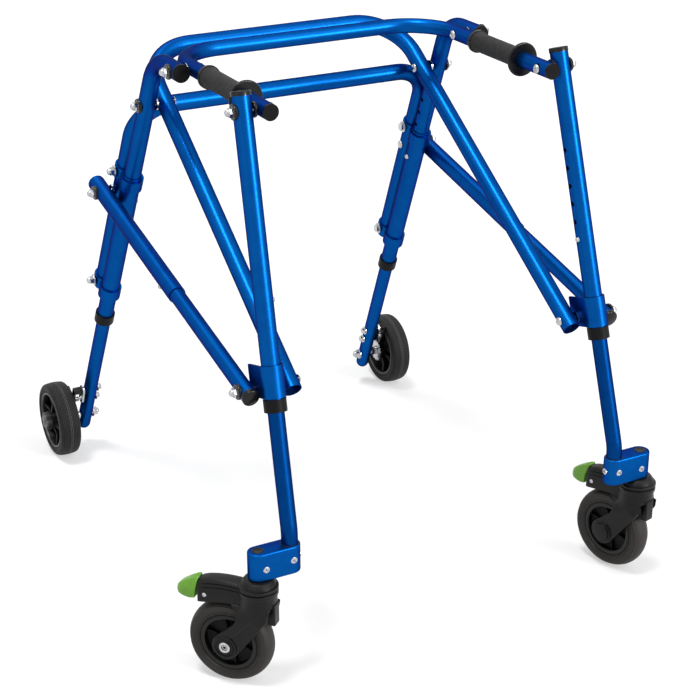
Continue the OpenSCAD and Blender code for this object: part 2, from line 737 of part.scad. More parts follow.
module rear_rim() color(black) at_rear_wheel() {
    spoked_rim(rear_rim_r - fit_gap, rear_w, rear_w, axle_r + run_gap);
    translate([0, 0, rear_w / 2]) {
        cylinder(h = knob_t, r = knob_r);
        for (i = [0 : knob_lobe_n - 1]) rotate([0, 0, i * 360 / knob_lobe_n])
            translate([knob_r - knob_lobe_r / 2, 0, 0]) cylinder(h = knob_t, r = knob_lobe_r);
    }
}

module rear_tyre() color(rubber) at_rear_wheel() rounded_band(rear_rim_r, rear_r, rear_w, tyre_corner);

module ratchet_gear() color(steel) {
    root_r = gear_r - tooth_depth;
    tooth_w = 2 * 180 / tooth_n;
    translate([gear_in_x, rear_axle_p[1], rear_axle_p[2]]) rotate([0, 90, 0]) difference() {
        linear_extrude(height = gear_t) polygon([
            for (i = [0 : tooth_n - 1], step = [0, 1])
                let (r = step == 0 ? gear_r : root_r, a = i * tooth_w + step * tooth_w * hub_share)
                    [r * cos(a), r * sin(a)]]);
        translate([0, 0, -overrun]) cylinder(h = gear_t + 2 * overrun, r = axle_r + run_gap);
    }
}

// Diagonal frame and handle bar

module diagonal_frame() color(blue) difference() {
    bent_tube(diag_path, diag_bend_r, diag_od);
    both() {
        cross_hole(diag_top, diag_od, pivot_r + run_gap);
        cross_hole(diag_foot, diag_od, pivot_r + run_gap);
    }
}

module handle_bar() color(blue) difference() {
    bent_tube(handle_path, handle_bend_r, handle_od);
    both() {
        cross_hole([handle_half_w, stub_pivot[1], handle_h], handle_od, pivot_r + run_gap);
        cross_hole([handle_half_w, head_pivot[1], handle_h], handle_od, pivot_r + open_gap);
    }
}

module grip() color(black) {
    front_y = head_pivot[1] + grip_front;
    frame_at([handle_half_w, front_y, handle_h], [1, 0, 0], [0, 0, -1], [0, 1, 0]) difference() {
        union() {
            rounded_band(0, grip_flange_r, 2 * grip_flange_t, grip_flange_t / 2);
            cylinder(h = grip_len, r = grip_r);
            translate([0, 0, grip_len - grip_rim_t]) cylinder(h = grip_rim_t, r = grip_rim_r);
        }
        translate([0, 0, -grip_len]) cylinder(h = 3 * grip_len, r = handle_od / 2 + fit_gap);
        translate([0, 0, -grip_flange_t - overrun]) cylinder(h = grip_flange_t + overrun, r = 2 * grip_flange_r);
    }
}

module handle_plugs() color(black) both() plug(handle_end, [0, -1, 0], handle_od);

// Front legs

// Sheet bracket bent round the leg's front, its flanges towards the rear
module bracket() {
    reach = foot_pivot_back + flange_reach;
    wide = 2 * flange_out;
    seat_r = (front_od - tube_wall) / 2;
    along_x = unit(cross(front_back, front_dir));
    frame_at(bracket_foot, along_x, front_back, front_dir)
        linear_extrude(height = bracket_h) difference() {
            union() {
                circle(r = flange_out);
                translate([-flange_out, 0]) square([wide, reach]);
            }
            translate([-seat_r, 0]) square([2 * seat_r, reach + overrun]);
            circle(r = seat_r);
        }
}

module front_leg() color(blue) {
    difference() {
        union() {
            straight_tube(front_foot, front_top, front_od);
            bracket();
        }
        cross_hole(head_pivot, front_od, pivot_r + fit_gap);
        cross_hole(foot_pivot, 2 * flange_out, pivot_r + fit_gap);
        wall_hole(front_button_p, inboard, front_od, button_r + button_gap);
        for (i = [1 : front_hole_n])
            wall_hole(front_button_p + front_dir * i * hole_pitch, inboard, front_od, hole_r);
    }
    end_cap(front_top, front_dir, front_od);
}

module front_collar() color(black)
    collar(front_foot - front_dir * collar_lip, front_dir, front_od);

module front_bolts() color(steel) {
    head_face = handle_half_w - handle_od / 2 - side_gap;
    cap_bolt(head_pivot, head_face, head_pivot[0] + front_od / 2 + side_gap, pivot_r);
    spacer_ring(head_pivot, handle_half_w + handle_od / 2 + side_gap, head_pivot[0] - front_od / 2 - side_gap);
    cap_bolt(foot_pivot, diag_foot[0] - diag_od / 2 - side_gap, brace_foot[0] + brace_inner_od / 2 + side_gap,
        pivot_r);
    spacer_ring(foot_pivot, diag_foot[0] + diag_od / 2 + side_gap, foot_pivot[0] - flange_out - side_gap);
}

module front_button() color(steel)
    snap_button(front_button_p, inboard, front_lower_od / 2 + slide_gap / 2, front_od / 2);

module front_lower_leg() color(blue) difference() {
    bent_tube(lower_leg_path, kink_bend_r, front_lower_od);
    for (i = [0 : front_hole_n])
        wall_hole(front_button_p - front_dir * i * hole_pitch, inboard, front_lower_od, button_r + button_gap);
}

// Oblong block that joins the leg to the caster's stem
module caster_block() color(blue) {
    difference() {
        union() {
            for (x = [kink[0], stem_x]) translate([x, kink[1], block_low_h]) cylinder(h = block_h, r = block_r);
            translate([kink[0], kink[1] - block_r, block_low_h]) cube([block_pitch, 2 * block_r, block_h]);
        }
        translate([kink[0], kink[1], leg_rest_h - fit_gap])
            cylinder(h = block_h, r = front_lower_od / 2 + fit_gap);
        translate([stem_x, kink[1], block_low_h - overrun])
            cylinder(h = block_h + 2 * overrun, r = stem_r + run_gap);
    }
    for (x = [kink[0], stem_x]) for (side = [-1, 1])
        translate([x, kink[1] + side * (block_r - screw_t), block_low_h + block_h / 2])
            rotate([-side * 90, 0, 0]) cylinder(h = 2 * screw_t, r = screw_r);
}

// Casters, each in its own frame

module left_caster() translate([-stem_x, kink[1], 0]) rotate([0, 0, 180 - left_swivel]) children();

module right_caster() translate([stem_x, kink[1], 0]) rotate([0, 0, 180 - right_swivel]) children();

// A solid of half width w across the wheel, with its outline in the caster's XZ plane
module slab(y0, y1, points) translate([0, y1, 0]) rotate([90, 0, 0])
    linear_extrude(height = y1 - y0) polygon(points);

module caster_fork() color(black) {
    bridge = [
        [fork_front, swivel_low],
        [swivel_r, swivel_low],
        [swivel_r, brake_top],
        [fork_front, brake_top]];
    arm = [
        [fork_front, brake_top],
        [fork_front, swivel_low - arm_front_drop],
        [caster_trail - fork_end_r * arm_long_share, caster_r - fork_end_r * arm_short_share],
        [caster_trail + fork_end_r * arm_long_share, caster_r + fork_end_r * arm_short_share],
        [arm_back_x, swivel_low - arm_back_drop],
        [arm_back_x, swivel_low],
        [swivel_r, brake_top]];
    housing = [
        [0, swivel_low],
        [caster_trail, swivel_low],
        [brake_reach, brake_end_low],
        [brake_reach, brake_end_top],
        [caster_trail + swivel_r, brake_top],
        [0, brake_top]];
    slot_x = pedal_pivot[0] - pedal_hub_r - fork_gap;
    slot_half_w = pedal_neck + pedal_gap;
    difference() {
        union() {
            translate([0, 0, swivel_low]) cylinder(h = brake_top - swivel_low, r = swivel_r);
            translate([0, 0, brake_top]) cylinder(h = swivel_ring_t, r = swivel_r - fork_gap);
            translate([0, 0, brake_top]) cylinder(h = block_top_h - brake_top, r = stem_r);
            slab(-fork_out, fork_out, bridge);
            for (side = [-1, 1]) {
                mid = side * (fork_in + fork_out) / 2;
                slab(mid - fork_t / 2, mid + fork_t / 2, arm);
                translate([caster_trail, mid + fork_t / 2, caster_r]) rotate([90, 0, 0])
                    cylinder(h = fork_t, r = fork_end_r);
                translate([caster_trail, side * fork_out + axle_cap_t, caster_r]) rotate([90, 0, 0])
                    cylinder(h = 2 * axle_cap_t, r = axle_cap_r);
            }
            slab(-brake_half_w, brake_half_w, housing);
            translate([fork_front - lock_tab[0], -lock_tab[1] / 2, swivel_low - lock_tab[2]]) cube(lock_tab);
            translate([fork_front - lock_tab[0], -lock_tab[1] / 2, swivel_low])
                cube([lock_tab[0] + fork_gap, lock_tab[1], lock_tab[2] / 2]);
        }
        translate([slot_x, -slot_half_w, 0]) cube([brake_reach, 2 * slot_half_w, 2 * brake_top]);
    }
    translate([caster_trail, fork_out, caster_r]) rotate([90, 0, 0]) cylinder(h = 2 * fork_out, r = axle_r);
    translate([pedal_pivot[0], brake_half_w, pedal_pivot[2]]) rotate([90, 0, 0])
        cylinder(h = 2 * brake_half_w, r = pedal_pin_r);
}

module at_caster_wheel() translate([caster_trail, 0, caster_r]) rotate([90, 0, 0]) children();

module caster_rim() color(black) at_caster_wheel()
    spoked_rim(caster_rim_r - fit_gap, caster_w * hub_share, 2 * (fork_in - side_gap), axle_r + run_gap);

module caster_tyre() color(rubber) at_caster_wheel()
    rounded_band(caster_rim_r, caster_r, caster_w, tyre_corner);

// Pedal on its pin in the housing's slot, with a tapering toe plate behind the housing
module brake_pedal() color(green) {
    root_x = pedal_pin_in + pedal_gap;
    toe = [
        [root_x, pedal_root_top],
        [root_x, 0],
        [root_x + pedal_relief, -pedal_root_low],
        [pedal_len, pedal_tip_low],
        [pedal_len, pedal_tip_top]];
    neck = [
        [0, -pedal_hub_r],
        [root_x + pedal_relief, -pedal_hub_r],
        [root_x + pedal_relief, pedal_hub_r],
        [0, pedal_hub_r]];
    translate(pedal_pivot) difference() {
        union() {
            translate([0, pedal_neck, 0]) rotate([90, 0, 0]) cylinder(h = 2 * pedal_neck, r = pedal_hub_r);
            slab(-pedal_neck, pedal_neck, neck);
            intersection() {
                slab(-pedal_half_w, pedal_half_w, toe);
                translate([0, 0, -brake_end_t]) linear_extrude(height = 2 * brake_end_t) union() {
                    translate([pedal_len - pedal_round, 0]) circle(r = pedal_round);
                    translate([0, -pedal_half_w]) square([pedal_len - pedal_round, 2 * pedal_half_w]);
                }
            }
        }
        translate([0, brake_half_w, 0]) rotate([90, 0, 0])
            cylinder(h = 2 * brake_half_w, r = pedal_pin_r + run_gap);
    }
}

// Side braces

module brace_outer() color(blue) difference() {
    straight_tube(brace_top - brace_dir * brace_tail, brace_top + brace_dir * brace_outer_len, brace_od);
    cross_hole(brace_top, brace_od, pivot_r + run_gap);
    wall_hole(brace_button_p, brace_button_dir, brace_od, button_r + button_gap);
}

module brace_inner() color(blue) {
    nose = brace_foot + brace_dir * brace_nose;
    difference() {
        straight_tube(brace_top + brace_dir * brace_inner_at, nose, brace_inner_od);
        cross_hole(brace_foot, brace_inner_od, pivot_r + open_gap);
        for (slid = [0, brace_travel])
            wall_hole(brace_button_p + brace_dir * slid, brace_button_dir, brace_inner_od, button_r + button_gap);
    }
    end_cap(nose, brace_dir, brace_inner_od);
}

module brace_button() color(steel)
    snap_button(brace_button_p, brace_button_dir, brace_inner_od / 2 + slide_gap / 2, brace_od / 2);

rear_frame_tube();
left() sleeve();  // sleeve_left
sleeve();  // sleeve_right
upper_clamps();
lower_clamps();
clamp_bolts();
left() upright();  // upright_left
upright();  // upright_right
upright_plugs();
rear_collars();
top_bolts();
stub_bolts();
brace_bolts();
left() sleeve_button();  // sleeve_button_left
sleeve_button();  // sleeve_button_right
left() rear_leg();  // rear_leg_left
rear_leg();  // rear_leg_right
left() rear_axle();  // rear_axle_left
rear_axle();  // rear_axle_right
left() ratchet_plate();  // ratchet_plate_left
ratchet_plate();  // ratchet_plate_right
left() pawl();  // pawl_left
pawl();  // pawl_right
left() rear_rim();  // rear_rim_left
rear_rim();  // rear_rim_right
left() rear_tyre();  // rear_tyre_left
rear_tyre();  // rear_tyre_right
left() ratchet_gear();  // ratchet_gear_left
ratchet_gear();  // ratchet_gear_right
diagonal_frame();
handle_bar();
left() grip();  // grip_left
grip();  // grip_right
handle_plugs();
left() front_leg();  // front_leg_left
front_leg();  // front_leg_right
left() front_collar();  // front_collar_left
front_collar();  // front_collar_right
left() front_bolts();  // front_bolts_left
front_bolts();  // front_bolts_right
left() front_button();  // front_button_left
front_button();  // front_button_right
left() front_lower_leg();  // front_lower_leg_left
front_lower_leg();  // front_lower_leg_right
left() caster_block();  // caster_block_left
caster_block();  // caster_block_right
left_caster() caster_fork();  // caster_fork_left
right_caster() caster_fork();  // caster_fork_right
left_caster() caster_rim();  // caster_rim_left
right_caster() caster_rim();  // caster_rim_right
left_caster() caster_tyre();  // caster_tyre_left
right_caster() caster_tyre();  // caster_tyre_right
left_caster() brake_pedal();  // brake_pedal_left
right_caster() brake_pedal();  // brake_pedal_right
left() brace_outer();  // brace_outer_left
brace_outer();  // brace_outer_right
left() brace_inner();  // brace_inner_left
brace_inner();  // brace_inner_right
left() brace_button();  // brace_button_left
brace_button();  // brace_button_right
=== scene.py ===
"""Posterior walker: detailed pieces, finishes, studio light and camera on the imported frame."""
import json
import logging
import math
from dataclasses import dataclass, field, replace
from enum import Enum

import bmesh
import bpy
import numpy as np
from mathutils import Matrix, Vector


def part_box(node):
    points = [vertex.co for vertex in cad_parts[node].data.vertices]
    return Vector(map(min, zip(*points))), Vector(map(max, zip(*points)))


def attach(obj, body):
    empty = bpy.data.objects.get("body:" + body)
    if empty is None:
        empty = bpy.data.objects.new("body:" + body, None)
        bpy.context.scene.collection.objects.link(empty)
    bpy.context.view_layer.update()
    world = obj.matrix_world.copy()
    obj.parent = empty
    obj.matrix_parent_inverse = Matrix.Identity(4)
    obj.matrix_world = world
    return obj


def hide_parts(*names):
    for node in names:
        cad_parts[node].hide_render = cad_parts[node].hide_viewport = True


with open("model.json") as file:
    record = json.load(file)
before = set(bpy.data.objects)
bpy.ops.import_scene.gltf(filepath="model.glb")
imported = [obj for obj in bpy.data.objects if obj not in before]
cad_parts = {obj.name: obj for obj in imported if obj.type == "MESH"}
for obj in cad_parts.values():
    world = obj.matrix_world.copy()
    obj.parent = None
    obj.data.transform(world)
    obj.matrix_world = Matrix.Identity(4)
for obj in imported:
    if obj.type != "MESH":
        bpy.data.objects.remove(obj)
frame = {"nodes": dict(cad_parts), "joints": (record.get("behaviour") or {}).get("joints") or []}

log = logging.getLogger("walker")
MM = 0.001
WELD_DIST = 1e-7
Array = np.ndarray
Faces = list[tuple[int, ...]]
Profile = list[tuple[float, float]]
Point = tuple[float, float, float]
Node, Socket, Tree = bpy.types.Node, bpy.types.NodeSocket, bpy.types.NodeTree
Sockets = bpy.types.bpy_prop_collection
Feed = object  # What feeds a node's input: a number, a colour or another node's socket.
VECTOR, COLOUR, FLOAT = "NodeSocketVector", "NodeSocketColor", "NodeSocketFloat"


class Texture(Enum):
    """The fine pattern that a finish carries in its bump."""

    GRAIN = "grain"
    CELLS = "cells"
    DOTS = "dots"


class Side(Enum):
    """The walker's left (-X) and right (+X) sides, seen from behind the grips."""

    LEFT = -1
    RIGHT = 1

    @property
    def word(self) -> str:
        """The side's word in node and body names."""
        return self.name.lower()


# Surfaces


@dataclass
class Surface:
    """Points in millimetres and the faces between them."""

    points: Array
    faces: Faces

    def placed(self, origin: Array, axes: Array) -> "Surface":
        """Carries the shape into another frame: origin + x X + y Y + z Z.

        Args:
            origin: The frame's origin.
            axes: Its three axes, one in each row.

        Returns:
            The moved surface.
        """
        return Surface(np.asarray(origin, float) + self.points @ np.asarray(axes, float), self.faces)

    def on_side(self, side: Side) -> "Surface":
        """A shape of the right side, mirrored where the side is the left one."""
        return Surface(self.points * [side.value, 1, 1], self.faces)

    @staticmethod
    def joined(parts: list["Surface"]) -> "Surface":
        """Several surfaces as one, each keeping its own points.

        Args:
            parts: The surfaces.

        Returns:
            The joined surface.
        """
        starts = np.cumsum([0] + [len(p.points) for p in parts[:-1]])
        faces = [tuple(i + s for i in f) for p, s in zip(parts, starts.tolist()) for f in p.faces]
        return Surface(np.vstack([p.points for p in parts]), faces)


def along_x(way: float) -> list[list[float]]:
    """Axes that turn a shape's Z along +X, or along -X where way is -1."""
    return [[0, 1, 0], [0, 0, 1], [way, 0, 0]]


def along_y(way: float) -> list[list[float]]:
    """Axes that turn a shape's Z along +Y, or along -Y where way is -1."""
    return [[1, 0, 0], [0, 0, 1], [0, way, 0]]


def unit(vectors: Array) -> Array:
    """Vectors along the last axis, brought to length 1."""
    return vectors / np.linalg.norm(vectors, axis=-1, keepdims=True)


def circle(steps: int) -> Array:
    """Angles round a full circle."""
    return np.linspace(0, 2 * np.pi, steps, endpoint=False)


def swell(wave: Array, power: Array | float) -> Array:
    """A superellipse's share of its half width, sign(w) |w|^(2/n), for a cosine or sine w."""
    return np.sign(wave) * np.abs(wave) ** (2 / power)


def ramp(value: Array, start: float, over: float) -> Array:
    """0 up to start, 1 from start + over on and straight between."""
    return np.clip((value - start) / over, 0, 1)


def quads(rows: int, cols: int, wrap_rows: bool) -> Faces:
    """Faces of a grid of points, row by row, whose last column joins the first.

    Args:
        rows: Points along the first parameter.
        cols: Points along the second parameter.
        wrap_rows: Whether the last row joins the first.

    Returns:
        One quad for each cell of the grid.
    """
    r = np.arange(rows if wrap_rows else rows - 1)[:, None]
    c = np.arange(cols)[None, :]
    r2, c2 = (r + 1) % rows, (c + 1) % cols
    cells = np.broadcast_arrays(r * cols + c, r * cols + c2, r2 * cols + c2, r2 * cols + c)
    return [tuple(f) for f in np.stack(cells, -1).reshape(-1, 4).tolist()]


def lathe(profile: Profile | Array, steps: int = 96, ring: bool = False) -> Surface:
    """A profile turned about Z: (r, h) goes to (r cos t, r sin t, h) for t round the circle.

    Args:
        profile: Radius and height of each profile point.
        steps: Points round the circle.
        ring: Whether the profile is a closed loop that stays off the axis.

    Returns:
        The turned surface; where it is no ring, its ends lie on the axis.
    """
    p = np.asarray(profile, float)
    t = circle(steps)
    grid = np.stack([np.outer(p[:, 0], np.cos(t)), np.outer(p[:, 0], np.sin(t)),
                     np.repeat(p[:, 1:2], steps, 1)], -1)
    return Surface(grid.reshape(-1, 3), quads(len(p), steps, ring))


def hoop(profile: Profile | Array, steps: int = 96) -> Surface:
    """A closed loop of a profile, off the axis, turned about Z."""
    return lathe(profile, steps, ring=True)


def both_hoops(profile: Profile) -> Surface:
    """A turned loop and its mirror image below the plane h = 0."""
    p = np.asarray(profile, float)
    return Surface.joined([hoop(p), hoop(p * [1, -1])])


def mirrored(half: Array) -> Array:
    """Half a profile, down to h = 0, and its mirror image."""
    return np.vstack([half, half[::-1][1:] * [1, -1]])


def inset(outline: Array, depth: float) -> Array:
    """An outline moved inwards: each point shifts along its mitre by depth over the half angle's cosine.

    Args:
        outline: Points counter-clockwise in the plane.
        depth: How far its sides move.

    Returns:
        The inner outline.
    """
    ahead = unit(np.roll(outline, -1, 0) - outline)
    left = np.stack([-ahead[:, 1], ahead[:, 0]], -1)
    both = unit(left + np.roll(left, 1, 0))
    share = np.clip((both * left).sum(1, keepdims=True), 0.4, 1)
    return outline + both * depth / share


def loft(sections: Array) -> Surface:
    """A skin through equal sections, one after the other, closed by flat ends.

    Args:
        sections: Sections x points x 3 coordinates.

    Returns:
        The closed shell.
    """
    k, n = sections.shape[:2]
    ends = [tuple(reversed(range(n))), tuple(range((k - 1) * n, k * n))]
    return Surface(sections.reshape(-1, 3), quads(k, n, False) + ends)


def prism(outline: Array, low: float, high: float, edge: float) -> Surface:
    """A flat outline drawn from low to high, its edges rounded by a quarter circle of radius edge.

    Args:
        outline: Points counter-clockwise in the plane.
        low: Height of the lower face.
        high: Height of the upper face.
        edge: Radius of the rounded edges.

    Returns:
        The closed slab.
    """
    a = np.linspace(0, np.pi / 2, 5)
    depths = np.concatenate([edge * (1 - np.sin(a)), edge * (1 - np.cos(a))])
    heights = np.concatenate([low + edge * (1 - np.cos(a)), high - edge * (1 - np.sin(a))])
    return loft(np.stack([np.column_stack([inset(outline, d), np.full(len(outline), h)])
                          for d, h in zip(depths, heights)]))


def fan(blade: Surface, count: int, start: float) -> list[Surface]:
    """Blades round Z on both faces: X goes outwards at the angle start + 2 pi k / count, Y goes up or down.

    Args:
        blade: One blade, drawn outwards along X and upwards along Y.
        count: Blades on each face.
        start: The first blade's angle.

    Returns:
        The turned blades.
    """
    blades = []
    for a in start + 2 * np.pi * np.arange(count) / count:
        c, s = math.cos(a), math.sin(a)
        blades += [blade.placed([0, 0, 0], [[c, s, 0], [0, 0, up], [s, -c, 0]]) for up in (1, -1)]
    return blades


def arc(centre: tuple[float, float], radius: float, start: float, stop: float, steps: int) -> Array:
    """Points on a circle from start to stop, in degrees."""
    t = np.radians(np.linspace(start, stop, steps))
    return np.column_stack([centre[0] + radius * np.cos(t), centre[1] + radius * np.sin(t)])


def corner(before: Array, at: Array, after: Array, cut: float, steps: int = 7) -> Array:
    """A rounded corner: the parabola (1-t)^2 A + 2t(1-t) C + t^2 B between points cut away from C.

    Args:
        before: A point on the side before the corner.
        at: The corner.
        after: A point on the side after it.
        cut: How far from the corner the curve begins and ends.
        steps: Points on the curve.

    Returns:
        The curve's points.
    """
    c = np.asarray(at, float)
    a, b = (c + cut * unit(np.asarray(p) - c) for p in (before, after))
    t = np.linspace(0, 1, steps)[:, None]
    return (1 - t) ** 2 * a + 2 * t * (1 - t) * c + t ** 2 * b


def rounded(corners: Profile, cut: float) -> Array:
    """A polygon with every corner rounded by the same cut.

    Args:
        corners: The polygon's corners, counter-clockwise.
        cut: The cut at each corner.

    Returns:
        The rounded outline.
    """
    p = np.asarray(corners, float)
    turns = zip(np.roll(p, 1, 0), p, np.roll(p, -1, 0))
    return np.vstack([corner(a, c, b, cut) for a, c, b in turns])


def sweep(path: Array, radius: float, steps: int = 10) -> Surface:
    """A round wire along a path: ring points p + r (cos t N + sin t B) with N square to the path.

    Args:
        path: Points along the wire's centre.
        radius: The wire's radius.
        steps: Points round the wire.

    Returns:
        The closed wire.
    """
    along = unit(np.gradient(path, axis=0))
    n = unit(np.cross(along, np.array([0.31, 0.53, 0.79])))
    b = np.cross(along, n)
    t = circle(steps)[None, :, None]
    return loft(path[:, None] + radius * (np.cos(t) * n[:, None] + np.sin(t) * b[:, None]))


# Finishes


@dataclass
class Wiring:
    """A node tree and the few ways in which its nodes are made and joined."""

    tree: Tree

    def feed(self, slot: Socket, value: Feed) -> None:
        """Links an input to a socket, or sets its own value.

        Args:
            slot: The input.
            value: A number, a colour or a socket.
        """
        if isinstance(value, Socket):
            self.tree.links.new(value, slot)
        else:
            slot.default_value = value

    def feeds(self, node: Node, values: dict[str | int, Feed]) -> None:
        """Feeds several inputs of a node, by name or number."""
        for key, value in values.items():
            self.feed(node.inputs[key], value)

    def node(self, kind: str, values: dict[str | int, Feed], **settings: object) -> Node:
        """A new node.

        Args:
            kind: The node's type.
            values: What feeds its inputs.
            settings: Its properties, set before the inputs.

        Returns:
            The node.
        """
        node = self.tree.nodes.new(kind)
        for name, value in settings.items():
            setattr(node, name, value)
        self.feeds(node, values)
        return node

    def calc(self, operation: str, a: Feed, b: Feed = 0.0) -> Socket:
        """The output of a math node; its inputs are numbers or sockets."""
        return self.node("ShaderNodeMath", {0: a, 1: b}, operation=operation).outputs[0]

    def length(self, a: Socket, b: Socket) -> Socket:
        """The root of a^2 + b^2."""
        return self.calc("SQRT", self.calc("ADD", self.calc("MULTIPLY", a, a), self.calc("MULTIPLY", b, b)))

    def noise(self, vector: Socket, scale: Feed, detail: float) -> Socket:
        """The value of a noise texture on the given coordinates."""
        values = {"Vector": vector, "Scale": scale, "Detail": detail}
        return self.node("ShaderNodeTexNoise", values).outputs[0]

    def span(self, value: Socket, start: float, stop: float, low: Feed = 0.0, high: Feed = 1.0,
             curve: str = "LINEAR") -> Socket:
        """Carries a value's range from start and stop to low and high, clamped.

        Args:
            value: The value.
            start: Where it gives low.
            stop: Where it gives high.
            low: First end of the new range.
            high: Last end of the new range.
            curve: The interpolation's name.

        Returns:
            The node's output socket.
        """
        ends = {"Value": value, "From Min": start, "From Max": stop, "To Min": low, "To Max": high}
        return self.node("ShaderNodeMapRange", ends, interpolation_type=curve).outputs[0]

    def mix(self, share: Socket, a: Feed, b: Feed) -> Socket:
        """Two colours mixed; 6, 7 and 2 are the colour sockets of the Mix node."""
        return self.node("ShaderNodeMix", {"Factor": share, 6: a, 7: b}, data_type="RGBA").outputs[2]


def new_group(name: str, inputs: dict[str, str], outputs: dict[str, str]) -> tuple[Wiring, Sockets, Sockets]:
    """An empty shader group with its sockets.

    Args:
        name: The group's name.
        inputs: Socket name to socket type.
        outputs: Socket name to socket type.

    Returns:
        The wiring of its tree, the sockets that its inputs give and those that its outputs take.
    """
    tree = bpy.data.node_groups.new(name, "ShaderNodeTree")
    for way, sockets in (("INPUT", inputs), ("OUTPUT", outputs)):
        for key, kind in sockets.items():
            tree.interface.new_socket(key, in_out=way, socket_type=kind)
    given, taken = tree.nodes.new("NodeGroupInput"), tree.nodes.new("NodeGroupOutput")
    return Wiring(tree), given.outputs, taken.inputs


def mottle_group() -> Tree:
    """Two colours and two roughnesses mixed by broad and fine noise, as wear and handling leave them.

    Returns:
        The group's tree.
    """
    finer, broad_share, low, high = 9.0, 0.65, 0.35, 0.65
    w, given, out = new_group(
        "mottle", {"Vector": VECTOR, "Colour": COLOUR, "Accent": COLOUR, "Scale": FLOAT, "Smooth": FLOAT,
                   "Rough": FLOAT}, {"Colour": COLOUR, "Roughness": FLOAT})
    broad = w.noise(given["Vector"], given["Scale"], 4.0)
    fine = w.noise(given["Vector"], w.calc("MULTIPLY", given["Scale"], finer), 2.0)
    broad, fine = w.calc("MULTIPLY", broad, broad_share), w.calc("MULTIPLY", fine, 1.0 - broad_share)
    share = w.span(w.calc("ADD", broad, fine), low, high)
    w.feed(out["Colour"], w.mix(share, given["Colour"], given["Accent"]))
    w.feed(out["Roughness"], w.span(share, 0.0, 1.0, given["Smooth"], given["Rough"]))
    return w.tree


def grain_group() -> Tree:
    """Height of a moulded or sprayed surface: fine noise over a coarse one.

    Returns:
        The group's tree.
    """
    coarse = 0.12
    w, given, out = new_group("grain_height", {"Vector": VECTOR, "Scale": FLOAT}, {"Height": FLOAT})
    fine = w.noise(given["Vector"], given["Scale"], 3.0)
    slow = w.noise(given["Vector"], w.calc("MULTIPLY", given["Scale"], coarse), 1.0)
    w.feed(out["Height"], w.calc("ADD", fine, slow))
    return w.tree


def cells_group() -> Tree:
    """Height of closed-cell foam: rounded cells of two sizes.

    Returns:
        The group's tree.
    """
    shares = (1.0, 2.3)
    w, given, out = new_group("cell_height", {"Vector": VECTOR, "Scale": FLOAT}, {"Height": FLOAT})
    big, small = (w.node("ShaderNodeTexVoronoi", {
        "Vector": given["Vector"], "Scale": w.calc("MULTIPLY", given["Scale"], s)}) for s in shares)
    w.feed(out["Height"], w.calc("ADD", big.outputs["Distance"], small.outputs["Distance"]))
    return w.tree


def dots_group() -> Tree:
    """Rows of small studs round a tyre: the angle about X and the place along it are cut into cells.

    The mask lightens the studs' colour as a painted highlight: full on the crown's middle rows, where the
    glints lie, and faint on the other studs.

    Returns:
        The group's tree.
    """
    count, pitch, tread_from = 140.0, 370.0, 0.0582  # Studs in a row, rows in a metre, inner radius.
    middle, half_row, faint = 0.3111, 0.0027, 0.25  # Rows with painted glints: place, half width; glint share on the other studs.
    stud_foot, stud_top, grit_scale, grit_share = 0.36, 0.2, 900.0, 0.8
    w, given, out = new_group("tread_studs", {"Vector": VECTOR}, {"Height": FLOAT, "Mask": FLOAT})
    x, y, z = w.node("ShaderNodeSeparateXYZ", {0: given["Vector"]}).outputs
    rows = w.calc("MULTIPLY", x, pitch)
    shift = w.calc("MULTIPLY", w.calc("FLOOR", rows), 0.5)
    turn = w.calc("MULTIPLY", w.calc("ARCTAN2", z, y), count / (2 * math.pi))
    du, dv = (w.calc("SUBTRACT", w.calc("FRACT", v), 0.5) for v in (w.calc("ADD", turn, shift), rows))
    dot = w.span(w.length(du, dv), stud_foot, stud_top, curve="SMOOTHSTEP")
    mask = w.calc("MULTIPLY", dot, w.calc("GREATER_THAN", w.length(y, z), tread_from))
    grit = w.noise(given["Vector"], grit_scale, 3.0)
    w.feed(out["Height"], w.calc("ADD", mask, w.calc("MULTIPLY", grit, grit_share)))
    aside = w.calc("SUBTRACT", w.calc("ABSOLUTE", x), middle)
    row = w.calc("LESS_THAN", w.calc("ABSOLUTE", aside), half_row)
    glint_share = w.calc("ADD", w.calc("MULTIPLY", row, 1.0 - faint), faint)
    w.feed(out["Mask"], w.calc("MULTIPLY", mask, glint_share))
    return w.tree


